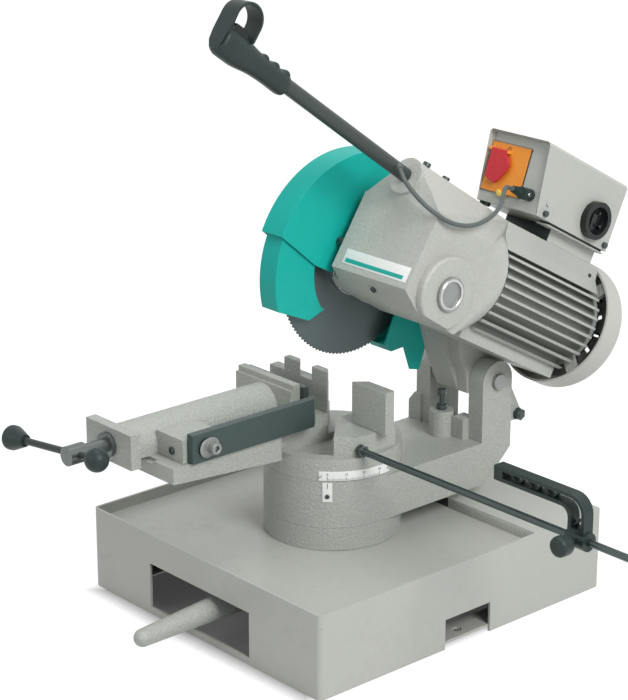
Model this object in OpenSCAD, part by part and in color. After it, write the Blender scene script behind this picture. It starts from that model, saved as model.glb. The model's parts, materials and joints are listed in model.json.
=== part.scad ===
// Manual cold saw: sheet-metal tray, swivel turret with vise, hinged worm-drive head with guards.
// Origin: swivel axis on the floor. X runs along the stock, Y points away from the operator, Z is up.
// Head pieces are drawn level and then tipped up about the hinge pin,
// the housing by its lean more than the motor.

/* [Base] */
// Width of the tray along the stock
base_w = 395; // [380:1:440]
// Depth of the tray, front to back
base_d = 438; // [430:1:480]
// Height of the tray walls
base_h = 98; // [94:1:120]
// Sheet thickness of the tray
sheet = 3; // [2:0.5:4]
// Depth of the sunk floor below the rim
tray_depth = 13; // [8:1:20]
// Distance of the swivel axis behind the front wall
axis_from_front = 195; // [190:1:200]
// Distance of the raised shelf behind the swivel axis
shelf_back = 133; // [120:1:150]
// Width of the front opening for the lock lever
opening_w = 174; // [150:1:190]
// Height of the front opening
opening_h = 54; // [46:1:56]
// Height of the lower edge of the front opening
opening_z = 8; // [8:1:12]
// Width of each side notch
notch_w = 70; // [50:1:90]
// Height of each side notch
notch_h = 36; // [25:1:45]
// Distance of the anchor holes behind the swivel axis
anchor_y = 25; // [10:1:40]
// Diameter of the anchor holes
anchor_d = 11; // [9:0.5:13]
// Width of the foot flanges that carry the anchor holes
flange_w = 30; // [26:1:40]
// Bend radius of the tray corners
bend_r = 6; // [4:1:10]

/* [Turret] */
// Diameter of the turret
turret_d = 158; // [154:1:164]
// Height of the fixed lower drum
drum_h = 27.5; // [24:0.5:34]
// Height of the swivelling ring
ring_h = 56; // [52:1:62]
// Height of the fixed top disc
disc_h = 26; // [24:1:30]
// Diameter of the centre post
post_d = 40; // [34:1:46]
// Height of the work table above the top disc
table_rise = 23; // [20:1:28]
// Half width of the blade slot beside the left table
slot_half = 6; // [5:0.5:8]
// Length of the vise arm in front of the swivel axis
arm_len = 238; // [230:1:250]
// Thickness of the angle scale plate
scale_t = 1; // [0.6:0.2:1.6]
// Height of the angle scale plate
scale_h = 11; // [9:1:13]
// Bearing angle of the zero mark, from the front towards the right
zero_mark = 44; // [40:1:48]

/* [Hinge] */
// Distance of the hinge pin behind the swivel axis
pin_y = 187; // [183:1:195]
// Height of the hinge pin above the work table
pin_rise = 18; // [16:1:24]
// Diameter of the hinge pin
pin_d = 16; // [14:1:18]
// Outer radius of the hinge ears
ear_r = 24; // [22:0.5:25]
// Thickness of each hinge ear
ear_t = 23; // [18:1:25]
// Clear width between the hinge ears
ear_gap = 64; // [60:1:68]
// Sideways offset of the hinge from the blade plane
hinge_x = 24; // [22:1:26]
// Wire diameter of the head return spring
spring_wire = 3; // [2:0.2:3.4]
// Number of turns of the head return spring
spring_turns = 9; // [6:1:10]

/* [Head] */
// Angle by which the motor is tipped up at rest
head_tilt = 29; // [26:0.5:31]
// Backward lean of the gear housing against the motor
housing_lean = 4.5; // [4:0.5:5]
// Distance of the arbor in front of the hinge pin, housing level
arbor_back = 219; // [212:1:226]
// Height of the arbor above the hinge pin, housing level
arbor_rise = 43.5; // [40:0.5:46]
// Distance of the housing's blade side from the blade plane
housing_x = 29; // [28:1:32]
// Width of the gear housing
housing_w = 116; // [112:1:122]
// Distance of the housing's front face in front of the arbor
housing_front = 55; // [53:1:58]
// Depth of the housing below the arbor
housing_low = 34; // [32:1:37]
// Height of the housing's shoulders above the arbor
housing_top = 72; // [69:1:76]
// Diameter of the bearing cover on the housing
cover_d = 81; // [78:1:88]
// Diameter of the plug in the bearing cover
plug_d = 36; // [32:1:40]

/* [Motor] */
// Height of the motor axis above the hinge pin, motor level
motor_rise = 93.5; // [92:0.5:97]
// Outer diameter over the cooling fins
motor_d = 132; // [126:1:134]
// Diameter of the motor tube under the fins
tube_d = 112; // [106:1:116]
// Length of the finned motor frame
motor_len = 181; // [176:1:188]
// Pitch of the cooling fins
fin_pitch = 11; // [9:0.5:12]
// Thickness of a cooling fin
fin_t = 3; // [2:0.5:4]
// Outer diameter of the fan cover
cowl_d = 154; // [150:1:158]
// Length of the fan cover
cowl_len = 38; // [36:1:46]

/* [Saw blade and guards] */
// Diameter of the saw blade
blade_d = 210; // [200:1:214]
// Thickness of the saw blade
blade_t = 2; // [1.6:0.2:2.4]
// Number of teeth on the blade
blade_teeth = 120; // [80:2:140]
// Diameter of the blade flanges
flange_d = 70; // [60:1:72]
// Outer radius of the upper guard
guard_r = 130; // [128:1:134]
// Outer width of the upper guard
guard_w = 34; // [34:1:36]
// Wall of the guards
guard_t = 2; // [1.5:0.5:2.5]

/* [Lever] */
// Diameter of the lever tube
lever_d = 16; // [14:1:18]
// Length of the lever tube in front of its socket
lever_len = 262; // [250:1:290]
// Upward slope of the lever, housing level
lever_slope = 2.4; // [1:0.2:4]
// Radius of the lever socket
socket_r = 21; // [19:1:24]
// Length of the grip
grip_len = 106; // [100:1:115]
// Width of the grip
grip_w = 27; // [24:1:30]

/* [Switch box] */
// Width of the switch box
box_w = 93; // [88:1:98]
// Height of the switch box
box_h = 80; // [76:1:88]
// Length of the switch box at its foot
box_len = 136; // [130:1:142]
// Overhang of the hood at the top
hood = 21; // [18:1:26]
// Diameter of the mains inlet
inlet_d = 44; // [40:1:46]

/* [Vise] */
// Opening between the jaws at rest
jaw_open = 27; // [27:1:34]
// Distance of the vise centre line from the blade plane
vise_x = 64; // [62:1:66]
// Height of the jaws above the table
jaw_h = 42; // [38:1:44]
// Thickness of the moving jaw plate
jaw_plate_t = 8; // [6:0.5:10]
// Diameter of the vise spindle
spindle_d = 16; // [14:1:18]
// Height of the spindle axis above the table
spindle_rise = 16; // [15:0.5:17]
// Height of the clamp bar
bar_h = 33; // [28:1:36]
// Thickness of the clamp bar
bar_t = 10; // [8:1:11]
// Diameter of the tommy bar
tommy_d = 8; // [7:0.5:9]
// Length of the tommy bar between its knobs
tommy_len = 149; // [135:1:160]
// Slope of the tommy bar at rest
tommy_slope = 7.2; // [0:0.2:20]

/* [Length stop] */
// Diameter of the stop rod
rod_d = 8; // [7:0.5:9]
// Distance of the rod in front of the swivel axis
rod_y = 24; // [22:0.5:26]
// Depth of the rod axis below the table
rod_low = 15; // [14:0.5:16]
// Distance of the rod's free end from the blade plane
rod_end = 470; // [430:1:480]
// Distance of the stop pad from the blade plane
stop_x = 284; // [260:1:300]
// Height of the stop arm above the rod
stop_rise = 48; // [42:1:54]
// Thickness of the stop arm
stop_t = 14; // [12:1:16]

/* [Control cable] */
// Diameter of the control cable
cable_d = 5; // [4:0.5:6]

/* [Hidden] */
$fn = 64;
hull_fn = 32;
// Radial running fit of shafts and pins
fit = 0.05;
// Face gap between pieces that move past each other
gap = 0.3;
eps = 0.01;

// Heights of the turret
floor_z = base_h - tray_depth;
drum_z1 = floor_z + drum_h;
ring_z0 = drum_z1 + gap;
ring_z1 = ring_z0 + ring_h;
disc_z0 = ring_z1 + gap;
disc_z1 = disc_z0 + disc_h;
table_z = disc_z1 + table_rise;
turret_r = turret_d/2;

// Lock lever under the floor
lock_z = opening_z + opening_h/2 + 5;
lock_hub_d = post_d + 14;
lock_foot = 24;
lock_reach = axis_from_front + 106;
lock_rest = 3.5;

// Hinge
pin_z = table_z + pin_rise;
ear_in0 = hinge_x - ear_gap/2;
ear_in1 = hinge_x + ear_gap/2;
sleeve_r = ear_r - 2;
arm_x0 = ear_in0 - ear_t;
arm_x1 = ear_in1 + ear_t;
arm_z1 = ring_z1 - 4;
spring_r = pin_d/2 + spring_wire/2 + 2;
spring_pitch = spring_wire + 1;
spring_len = spring_turns*spring_pitch + spring_wire;
stop_bolt_y = pin_y + ear_r + 22;
stop_bolt_z = pin_z - 54;
stop_bolt_d = 8;
depth_x = hinge_x + 1;
depth_y = pin_y - 37;
depth_boss_d = 28;
depth_boss_z = pin_z - 40;
depth_d = 7;
depth_head = 10;
depth_top = pin_z - 15;
toe = 10;
neck_x0 = 6;
neck_x1 = 40;

// Head: ay and az in the housing's frame, all with m, motor, pad, box and cowl in the motor's frame
ay = pin_y - arbor_back;
az = pin_z + arbor_rise;
mz = pin_z + motor_rise;
worm_y = pin_y - arbor_back*cos(housing_lean) + arbor_rise*sin(housing_lean);
worm_z = pin_z + arbor_rise*cos(housing_lean) + arbor_back*sin(housing_lean);
worm_rise = mz - worm_z;
housing_x1 = housing_x + housing_w;
mx = housing_x + housing_w/2;
front_y = ay - housing_front;
bottom_z = az - housing_low;
chin_y = 32;
chin_z = 15;
top_z = az + housing_top;
motor_y0 = worm_y + 80;
motor_y1 = motor_y0 + motor_len;
pad_half = 38;
pad_z = mz + motor_d/2 + 5;
riser_y0 = motor_y0 + 74;
riser_y1 = motor_y1 - 21;
skirt_half = 32;
skirt_z = mz - motor_d/2 - 2;
fin_top = 35;
fin_count = 9;
neck_y = pin_y - 94;
wheel_r = worm_rise - 11;
worm_r = worm_rise - wheel_r - gap;
wheel_w = 30;
worm_len = 56;
shaft_d = 30;
tail_d = 25;
bearing_d = 52;
bearing_w = 14;
cavity_r = bearing_d/2 + 5;
snout_r = 24;
seat_d = 32;
flange_t = 8;
cover_t = 10;
cover_x1 = housing_x1 + cover_t;
motor_shaft_d = 20;
rotor_r = 30;
bore_r = tube_d/2 - 8;
shield_t = 6;
cowl_t = 2.5;
cowl_y0 = motor_y1 - 3;
cowl_y1 = cowl_y0 + cowl_len;

// Guards
guard_in = guard_w/2 - guard_t;
mover_r = guard_r - guard_t - 4;
mover_half = guard_in - 1.5;
mover_inner = 68;
mover_hub_r = snout_r + 8;
guard_pads = [[-30, 62], [20, 62], [58, -8]];

// Lever, drawn along -Y from the mouth of its socket
mouth_y = front_y - 12;
mouth_z = az + 97.5;
socket_len = 78;
grip_y0 = -(lever_len + 56);
grip_y1 = grip_y0 + grip_len;
trigger_half = 7;
loop_h = 46;

// Switch box
box_x0 = mx - 42;
box_x1 = box_x0 + box_w;
box_z0 = pad_z + 18.5;
box_z1 = box_z0 + box_h;
box_y0 = motor_y0 + 25;
box_y1 = box_y0 + box_len;
box_t = 2;
back_slant = 4;
panel_y1 = box_y0 - 11;
panel_tilt = atan((box_y0 - panel_y1)/(box_h - 2*box_t));
inlet_y = box_y0 + 94;
inlet_z = box_z0 + 26;
plug_x = box_x1 - 17;
plate_x0 = box_x0 + 3;
plate_w = 58;
plate_z0 = 11;
plate_h = 56;
plate_t = 2;
flap_w = 32;
flap_h = 38;
flap_x = plate_x0 + 5;
flap_hinge = 24;
button_x = flap_x + flap_hinge/2;
button_z = plate_z0 + 20;
button_d = 10;
flap_top = plate_z0 + plate_h - 9;
flap_t = 3;
button_h = 2;
flap_y = plate_t + button_h + 0.8;

// Vise
spindle_z = table_z + spindle_rise;
jaw_y = -jaw_open;
cast_y = jaw_y - jaw_plate_t;
end_y0 = cast_y - 233;
end_t = 13;
end_y1 = end_y0 + end_t;
end_w = 80;
end_h = 40;
slide_half = 26;
slide_z0 = table_z + gap;
cavity_half = 14;
tongue_half = 8;
tongue_h = 12;
lug_y0 = end_y0 + 47;
lug_len = 51;
lug_x1 = slot_half - 0.5;
lug_h = 27;
bar_y0 = lug_y0 + 6;
bar_y1 = jaw_y - 4;
bar_z0 = table_z + 1;
nut_y0 = end_y1 + jaw_open + 12;
thread_d = spindle_d - 2;
nut_d = thread_d + 8;
nut_len = 24;
hub_d = 22;
hub_y = end_y0 - 45;
hub_len = 22;
tommy_left = 109;
knob_d = 28;
ball_d = 27;
collar_d = spindle_d + 12;
bar_screw_y = bar_y0 + 24;
bar_screw_z = bar_z0 + bar_h/2 - 1;

// Length stop
rod_z = table_z - rod_low;
rod_x0 = 46;
block_x1 = turret_r - 7;
stop_hub_d = 20;
stop_hub_x0 = stop_x + 102;
stop_hub_len = 26;
stop_rib = 4;
stop_depth = 16;
stop_knob_d = 21;
stop_stud_d = 6;

paint = [0.72, 0.72, 0.69];
teal = [0.12, 0.69, 0.65];
dark = [0.2, 0.22, 0.22];
steel = [0.6, 0.61, 0.62];

// Route of the control cable, housing level: chosen points from the lever to the plug
cable_route = [[97, -121, 377], [104, -122, 372], [112, -121, 366], [124, -115, 358], [136, -105, 351],
    [146, -92, 347], [152, -76, 346], [154.5, -58, 350], [154, -40, 358], [152, -26, 368], [149, -15, 378],
    [144, -5, 389], [138, 2, 399], [131, 8, 408], [125, 13, 415], [119, 20, 421], [114, 29, 424],
    [112, 39, 426]];

// Shared shapes
module span(x0, x1, y0, y1, z0, z1) {
    translate([x0, y0, z0]) cube([x1 - x0, y1 - y0, z1 - z0]);
}
module rod_x(x0, x1, d) {
    translate([x0, 0, 0]) rotate([0, 90, 0]) cylinder(d = d, h = x1 - x0);
}
module rod_y(y0, y1, d) {
    translate([0, y0, 0]) rotate([-90, 0, 0]) cylinder(d = d, h = y1 - y0);
}
// A flat outline in Y and Z, made thick along X
module across(x0, x1) {
    translate([x0, 0, 0]) rotate([90, 0, 90]) linear_extrude(x1 - x0) children();
}
// A flat outline in X and Z, made thick along Y
module lengthways(y0, y1) {
    translate([0, y1, 0]) rotate([90, 0, 0]) linear_extrude(y1 - y0) children();
}
module rounded(w, d, r) {
    square([w - 2*r, d], center = true);
    square([w, d - 2*r], center = true);
    for (i = [-1, 1], j = [-1, 1]) translate([i*(w/2 - r), j*(d/2 - r)]) circle(r);
}
module about_pin(angle) {
    translate([0, pin_y, pin_z]) rotate([angle, 0, 0]) translate([0, -pin_y, -pin_z]) children();
}
// Tips the housing, and the motor, up about the hinge pin
module raised() { about_pin(-head_tilt - housing_lean) children(); }
module motor_raised() { about_pin(-head_tilt) children(); }
// Brings a shape of the motor's frame into the housing's frame
module from_motor() { about_pin(housing_lean) children(); }
function in_motor(p) = let (y = p[1] - pin_y, z = p[2] - pin_z)
    [p[0], pin_y + y*cos(housing_lean) + z*sin(housing_lean),
        pin_z + z*cos(housing_lean) - y*sin(housing_lean)];
module at_arbor() { translate([0, ay, az]) children(); }
module at_motor() { translate([mx, 0, mz]) children(); }
module at_lever() { translate([mx, mouth_y, mouth_z]) rotate([-lever_slope, 0, 0]) children(); }
module at_panel() { translate([0, box_y0, box_z0 + box_t]) rotate([panel_tilt, 0, 0]) children(); }
module at_spindle() { translate([-vise_x, 0, spindle_z]) children(); }
module at_tommy() { at_spindle() translate([0, hub_y, 0]) rotate([0, -tommy_slope, 0]) children(); }
module at_rod() { translate([0, -rod_y, rod_z]) children(); }
function arc(r, a0, a1, n) = [for (i = [0:n]) let (a = a0 + (a1 - a0)*i/n) r*[cos(a), sin(a)]];
// Hexagon bolt head or nut along +Z
module hexagon(across_flats, h) { cylinder(d = across_flats/cos(30), h = h, $fn = 6); }

// Tube swept along points, for the cable and the spring
function unit(v) = v/norm(v);
function tangent(p, i) = unit(p[min(i + 1, len(p) - 1)] - p[max(i - 1, 0)]);
function ring(p, t, side, r, n) = let (u = unit(cross(t, side)), v = cross(t, u))
    [for (k = [0:n - 1]) p + r*(cos(360*k/n)*u + sin(360*k/n)*v)];
module sweep(p, r, n, side) {
    m = len(p);
    body = [for (i = [0:m - 1]) each ring(p[i], tangent(p, i), side, r, n)];
    walls = [for (i = [0:m - 2], k = [0:n - 1]) let (a = i*n + k, b = i*n + (k + 1)%n)
        each [[a, b, a + n], [b, b + n, a + n]]];
    caps = [for (k = [1:n - 2]) each [[0, k + 1, k], [(m - 1)*n, (m - 1)*n + k, (m - 1)*n + k + 1]]];
    polyhedron(body, concat(walls, caps), convexity = 8);
}

// Base
module base_tray() color(paint) {
    mid_y = base_d/2 - axis_from_front;
    back_y = base_d - axis_from_front;
    flange_z = 5;
    difference() {
        union() {
            translate([0, mid_y, 0]) linear_extrude(base_h) difference() {
                rounded(base_w, base_d, bend_r);
                rounded(base_w - 2*sheet, base_d - 2*sheet, bend_r - sheet);
            }
            span(-base_w/2 + eps, base_w/2 - eps, sheet - axis_from_front - eps, shelf_back + sheet,
                floor_z - sheet, floor_z);
            span(-base_w/2 + eps, base_w/2 - eps, shelf_back, shelf_back + sheet, floor_z - sheet, base_h);
            span(-base_w/2 + sheet, base_w/2 - sheet, shelf_back, back_y - sheet/2, base_h - sheet, base_h);
            for (i = [-1, 1]) translate([i*(base_w/2 - sheet - flange_w/2), mid_y, flange_z])
                linear_extrude(sheet) square([flange_w + 2*eps, base_d - 4*bend_r], center = true);
        }
        span(-opening_w/2 - 5, opening_w/2 - 5, -axis_from_front - 1, -axis_from_front + sheet + 1,
            opening_z, opening_z + opening_h);
        for (i = [-1, 1]) {
            translate([i*(base_w/2 - sheet/2), anchor_y, 0])
                cube([sheet + 2*eps, notch_w, 2*notch_h], center = true);
            translate([i*(base_w/2 - sheet - flange_w/2 + 1), anchor_y, 0]) cylinder(d = anchor_d, h = notch_h);
        }
        cylinder(d = post_d + 2*fit, h = base_h);
    }
}

// Turret
module turret_drum() color(paint) {
    foot_t = 14;
    difference() {
        translate([0, 0, floor_z]) cylinder(r = turret_r, h = drum_h);
        cylinder(d = post_d + 2*fit, h = base_h + drum_h);
        translate([0, 0, floor_z - eps]) difference() {
            cylinder(r = turret_r - foot_t, h = drum_h - foot_t);
            cylinder(d = post_d + 2*foot_t, h = drum_h);
        }
    }
}
module centre_post() color(steel) {
    cylinder(d = lock_hub_d, h = lock_foot);
    cylinder(d = post_d, h = disc_z0 + disc_h/2 - 1);
}
module lock_lever() color(paint) {
    grip_r = 10;
    root_r = 15;
    reach = lock_reach - grip_r;
    hub_z0 = lock_foot + gap;
    difference() {
        union() {
            translate([0, 0, hub_z0]) cylinder(d = lock_hub_d, h = floor_z - sheet - gap - hub_z0);
            rotate([0, 0, lock_rest]) translate([0, 0, lock_z]) {
                hull() {
                    translate([0, -reach, 0]) sphere(grip_r, $fn = hull_fn);
                    translate([0, -reach/2, 0]) sphere(root_r, $fn = hull_fn);
                }
                hull() {
                    translate([0, -reach/2, 0]) sphere(root_r, $fn = hull_fn);
                    translate([0, -lock_hub_d/2 + 2, 0]) sphere(root_r, $fn = hull_fn);
                }
            }
        }
        cylinder(d = post_d + 2*fit, h = base_h);
    }
}
module vise_table() color(paint) {
    arm_low = table_z - 18;
    root_low = table_z - 30;
    relief = 6;
    block = [[slot_half + 3, -2], [52, -45], [69, -28], [block_x1, -14], [block_x1, 30], [slot_half + 3, 30]];
    left = [[-vise_x - 48, -arm_len], [slot_half + 4, -arm_len], [slot_half + 4, -turret_r - 6],
        [-slot_half, -turret_r + 8], [-slot_half, -2], [-slot_half - 32, 30], [-70, 30], [-vise_x - 48, -20]];
    difference() {
        union() {
            translate([0, 0, disc_z0]) cylinder(r = turret_r, h = disc_h);
            translate([0, 0, disc_z1 - eps]) linear_extrude(table_rise + eps) polygon(block);
            intersection() {
                translate([0, 0, disc_z0]) linear_extrude(table_z - disc_z0) polygon(left);
                across(-turret_d, turret_d) polygon([[-arm_len, arm_low], [-turret_r, root_low],
                    [-turret_r + 20, root_low], [-turret_r + 20, disc_z1 - 1], [40, disc_z1 - 1],
                    [40, table_z], [-arm_len, table_z]]);
            }
        }
        // Sunk pocket under the blade
        translate([0, 0, disc_z1 - 8]) linear_extrude(disc_h) polygon([[-slot_half, -turret_r + 14],
            [slot_half + 26, -turret_r + 20], [slot_half + 40, -44], [slot_half + 2, -6], [-slot_half, 20]]);
        // Groove for the carriage and the nut
        span(-vise_x - tongue_half - gap, -vise_x + tongue_half + gap, -arm_len - 1, jaw_open + 4 - turret_r,
            table_z - tongue_h - 1, table_z + 1);
        // Relief for the end plate of the carriage
        span(-vise_x - end_w/2 - gap, -vise_x + end_w/2 + gap, -arm_len - 1, -arm_len + relief,
            spindle_z - end_h/2 - gap, table_z + 1);
        translate([0, 0, disc_z0 - eps]) cylinder(d = post_d + 2*fit, h = disc_h/2 + eps);
        at_rod() rod_x(rod_x0, block_x1 + 1, rod_d + 2*fit);
    }
}
module fixed_jaw_left() color(paint) {
    peak_w = 28;
    translate([0, 0, table_z]) {
        linear_extrude(jaw_h - 8) polygon([[-vise_x - 46, 0], [-slot_half - 2, 0], [-slot_half - 16, 14],
            [-vise_x - 46, 14]]);
        for (x = [-slot_half - 2 - peak_w, -vise_x - 20]) translate([x, 0, 0])
            linear_extrude(jaw_h + 8) polygon([[0, 0], [peak_w, 0], [peak_w - 9, 9], [0, 9]]);
        for (x = [-vise_x - 40, -vise_x + 14]) translate([x, 0, 0])
            across(0, 12) polygon([[13, 0], [28, 0], [13, jaw_h - 10]]);
    }
}
module fixed_jaw_right() color(paint) {
    translate([0, 0, table_z]) {
        linear_extrude(jaw_h + 8) polygon([[32, 0], [block_x1 + 16, 0], [block_x1 + 14, 15], [45, 15]]);
        linear_extrude(jaw_h - 14) polygon([[45, 14], [block_x1, 14], [block_x1, 28],
            [45, 28]]);
    }
}
module jaw_bolts() color(dark) {
    head_h = 7;
    for (x = [-vise_x - 20, -vise_x + 2]) translate([x, 21, table_z]) hexagon(11, head_h);
    for (x = [52, block_x1 - 9]) translate([x, 21, table_z + jaw_h - 14]) hexagon(9, head_h);
}
module scale_plate() color("white") {
    lead = 7;
    sweep_angle = 64;
    translate([0, 0, disc_z0 + 1]) rotate([0, 0, zero_mark - lead - 90]) rotate_extrude(angle = sweep_angle)
        translate([turret_r + fit, 0]) square([scale_t, scale_h]);
}
module spindle_nut() color([0.72, 0.55, 0.3]) {
    difference() {
        union() {
            span(-vise_x - tongue_half, -vise_x + tongue_half, nut_y0, nut_y0 + nut_len,
                table_z - tongue_h - 1, spindle_z);
            at_spindle() rod_y(nut_y0, nut_y0 + nut_len, nut_d);
        }
        at_spindle() rod_y(nut_y0 - 1, nut_y0 + nut_len + 1, thread_d + 2*fit);
    }
}

// Swivel arm with the hinge
module ear(x0) {
    across(x0, x0 + ear_t) {
        polygon([[pin_y - ear_r, arm_z1 - 2], [pin_y + ear_r, arm_z1 - 2], [pin_y + ear_r, pin_z],
            [pin_y - ear_r, pin_z]]);
        translate([pin_y, pin_z]) circle(ear_r);
    }
}
module swivel_arm() color(paint) {
    rib_t = 12;
    back = pin_y + ear_r;
    front = pin_y - ear_r;
    difference() {
        union() {
            translate([0, 0, ring_z0]) cylinder(r = turret_r, h = ring_h);
            intersection() {
                translate([0, 0, ring_z0]) linear_extrude(arm_z1 - ring_z0) polygon([[-turret_r, 0],
                    [turret_r, 0], [arm_x1, turret_r], [arm_x1, back], [arm_x0 - toe, back],
                    [arm_x0 - toe, turret_r]]);
                across(-turret_d, turret_d) polygon([[0, ring_z0], [back - 40, ring_z0],
                    [back, arm_z1 - 15], [back, arm_z1], [0, arm_z1]]);
            }
            ear(ear_in0 - ear_t);
            ear(ear_in1);
            translate([depth_x, depth_y, arm_z1 - 2]) cylinder(d = depth_boss_d, h = depth_boss_z - arm_z1 + 2);
            // Toes of the ears
            span(depth_x + depth_boss_d/2, ear_in1 + 1, front - toe, front + toe, arm_z1 - 2, depth_boss_z - 6);
            lengthways(front - 3, back - toe) polygon([[arm_x0 - toe, arm_z1 - 2], [arm_x0 + toe, arm_z1 - 2],
                [arm_x0 + toe, depth_boss_z + 4], [arm_x0, depth_boss_z + 4], [arm_x0 - toe, depth_boss_z - 8]]);
            // Rear rib of the right ear with the eye of the cross bolt
            across(ear_in1, ear_in1 + rib_t) {
                polygon([[pin_y, pin_z + ear_r - 4], [pin_y + ear_r - 2, pin_z + 6], [stop_bolt_y + 8, stop_bolt_z],
                    [stop_bolt_y, stop_bolt_z - 7], [pin_y, stop_bolt_z - 7]]);
                translate([stop_bolt_y, stop_bolt_z]) circle(8);
            }
        }
        cylinder(d = post_d + 2*fit, h = ring_z1 + 1);
        translate([0, pin_y, pin_z]) rod_x(arm_x0 - 1, arm_x1 + 1, pin_d);
        translate([0, stop_bolt_y, stop_bolt_z]) rod_x(ear_in1 - 1, arm_x1 + 1, stop_bolt_d);
        translate([depth_x, depth_y, arm_z1 - 25]) cylinder(d = depth_d, h = 60);
    }
}
module pivot_pin() color(steel) {
    collar_t = 5;
    translate([0, pin_y, pin_z]) {
        rod_x(arm_x0 - 3, arm_x1 + 1, pin_d);
        rod_x(arm_x1, arm_x1 + collar_t, pin_d + 3);
    }
}
module pointer_plate() color("white") {
    half = 5.5;
    turn = asin(half/turret_r);
    translate([0, 0, ring_z1 - 24]) rotate([0, 0, zero_mark - 90 - turn]) rotate_extrude(angle = 2*turn)
        translate([turret_r + fit, 0]) square([scale_t, 23]);
}
module depth_stop_screw() color(dark) {
    head_h = 7;
    translate([depth_x, depth_y, arm_z1 - 20]) cylinder(d = depth_d, h = depth_top - head_h - arm_z1 + 21);
    translate([depth_x, depth_y, depth_top - head_h]) hexagon(depth_head, head_h);
}
module depth_stop_nut() color(dark) {
    nut_h = 6;
    translate([depth_x, depth_y, depth_boss_z]) difference() {
        hexagon(depth_head + 1, nut_h);
        translate([0, 0, -1]) cylinder(d = depth_d, h = nut_h + 2);
    }
}
module rear_stop_bolt() color(dark) {
    translate([0, stop_bolt_y, stop_bolt_z]) {
        rod_x(ear_in1 - 12, ear_in1 + 20, stop_bolt_d);
        translate([ear_in1 + 12, 0, 0]) rotate([0, 90, 0]) hexagon(13, 7);
    }
}
function spring_points(per_turn) = [for (i = [0:spring_turns*per_turn])
    let (a = 360*i/per_turn) [spring_pitch*i/per_turn, spring_r*cos(a), spring_r*sin(a)]];
module return_spring() color(steel) raised() {
    points = spring_points(16);
    x0 = hinge_x - spring_turns*spring_pitch/2;
    echo(least_spring_gap = spring_pitch - spring_wire);
    translate([x0, pin_y, pin_z]) sweep(points, spring_wire/2, 6, [1, 0, 0]);
}

// Gear housing with lever socket
module housing_solid() {
    rear = ay + 43;
    across(housing_x, housing_x1) polygon([[front_y, bottom_z + chin_z], [front_y + chin_y, bottom_z],
        [rear, bottom_z], [rear, top_z], [front_y, top_z]]);
    // Lower corner on the blade side
    across(guard_w/2 + gap, housing_x + 1) polygon([[front_y + chin_y, bottom_z],
        [front_y + 0.6*chin_y, bottom_z + 0.4*chin_z], [front_y + 0.8*chin_y, bottom_z + chin_z],
        [ay, bottom_z + chin_z], [ay + snout_r, bottom_z]]);
    hull() {
        span(housing_x, housing_x1, rear - 1, rear, bottom_z, top_z);
        from_motor() at_motor() rod_y(motor_y0 - 4, motor_y0, motor_d, $fn = hull_fn);
    }
    // Shoulders that rise to the lever socket and run back to the deck of the motor
    hull() {
        at_lever() rod_y(5, socket_len - 4, 2*socket_r - 1, $fn = hull_fn);
        from_motor() span(mx - pad_half, mx + pad_half, motor_y0 - 4, motor_y0, mz, pad_z);
        span(housing_x + 1, housing_x1 - 1, front_y + fit, rear - 1, top_z - 12, top_z - 1);
    }
    at_lever() rod_y(0, socket_len, 2*socket_r);
    at_arbor() rod_x(blade_t/2 + flange_t + 2*gap, housing_x + 1, 2*snout_r);
    // Pads that carry the guards
    for (p = guard_pads) at_arbor() translate([0, p[0], p[1]]) rod_x(guard_w/2, housing_x + 1, 16);
}
module gear_housing() color(paint) raised() {
    wall = 12;
    difference() {
        housing_solid();
        at_lever() rod_y(-1, socket_len - 8, lever_d);
        at_arbor() {
            rod_x(mx - wheel_w/2 - 4, housing_x1 + 1, 2*cavity_r);
            rod_x(guard_in - 10, mx, shaft_d + 6);
            rod_x(housing_x + wall, mx, bearing_d);
        }
        from_motor() at_motor() {
            rod_y(worm_y - worm_len/2 - 4, motor_y0 + 1, 2*worm_r + 3);
            rod_y(motor_y0 - bearing_w, motor_y0 + 1, bearing_d);
        }
    }
}
module bearing_cover() color(paint) raised() at_arbor() {
    spigot = 25;
    difference() {
        union() {
            intersection() {
                rod_x(housing_x1, cover_x1, cover_d);
                span(housing_x1, cover_x1, -cover_d, cover_d, -housing_low, cover_d);
            }
            rod_x(housing_x1 - spigot, housing_x1 + 1, 2*cavity_r - 4*fit);
        }
        rod_x(housing_x1 - spigot - 1, housing_x1 - spigot + bearing_w, bearing_d);
        rod_x(housing_x1 - spigot, cover_x1 + 1, plug_d - 2);
    }
}
module oil_plug() color(steel) raised() at_arbor() {
    difference() {
        union() {
            rod_x(cover_x1 - 6, cover_x1 + 1, plug_d - 2);
            rod_x(cover_x1, cover_x1 + 4, plug_d + 2);
        }
        rod_x(cover_x1 + 2, cover_x1 + 5, plug_d - 8);
    }
}

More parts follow.
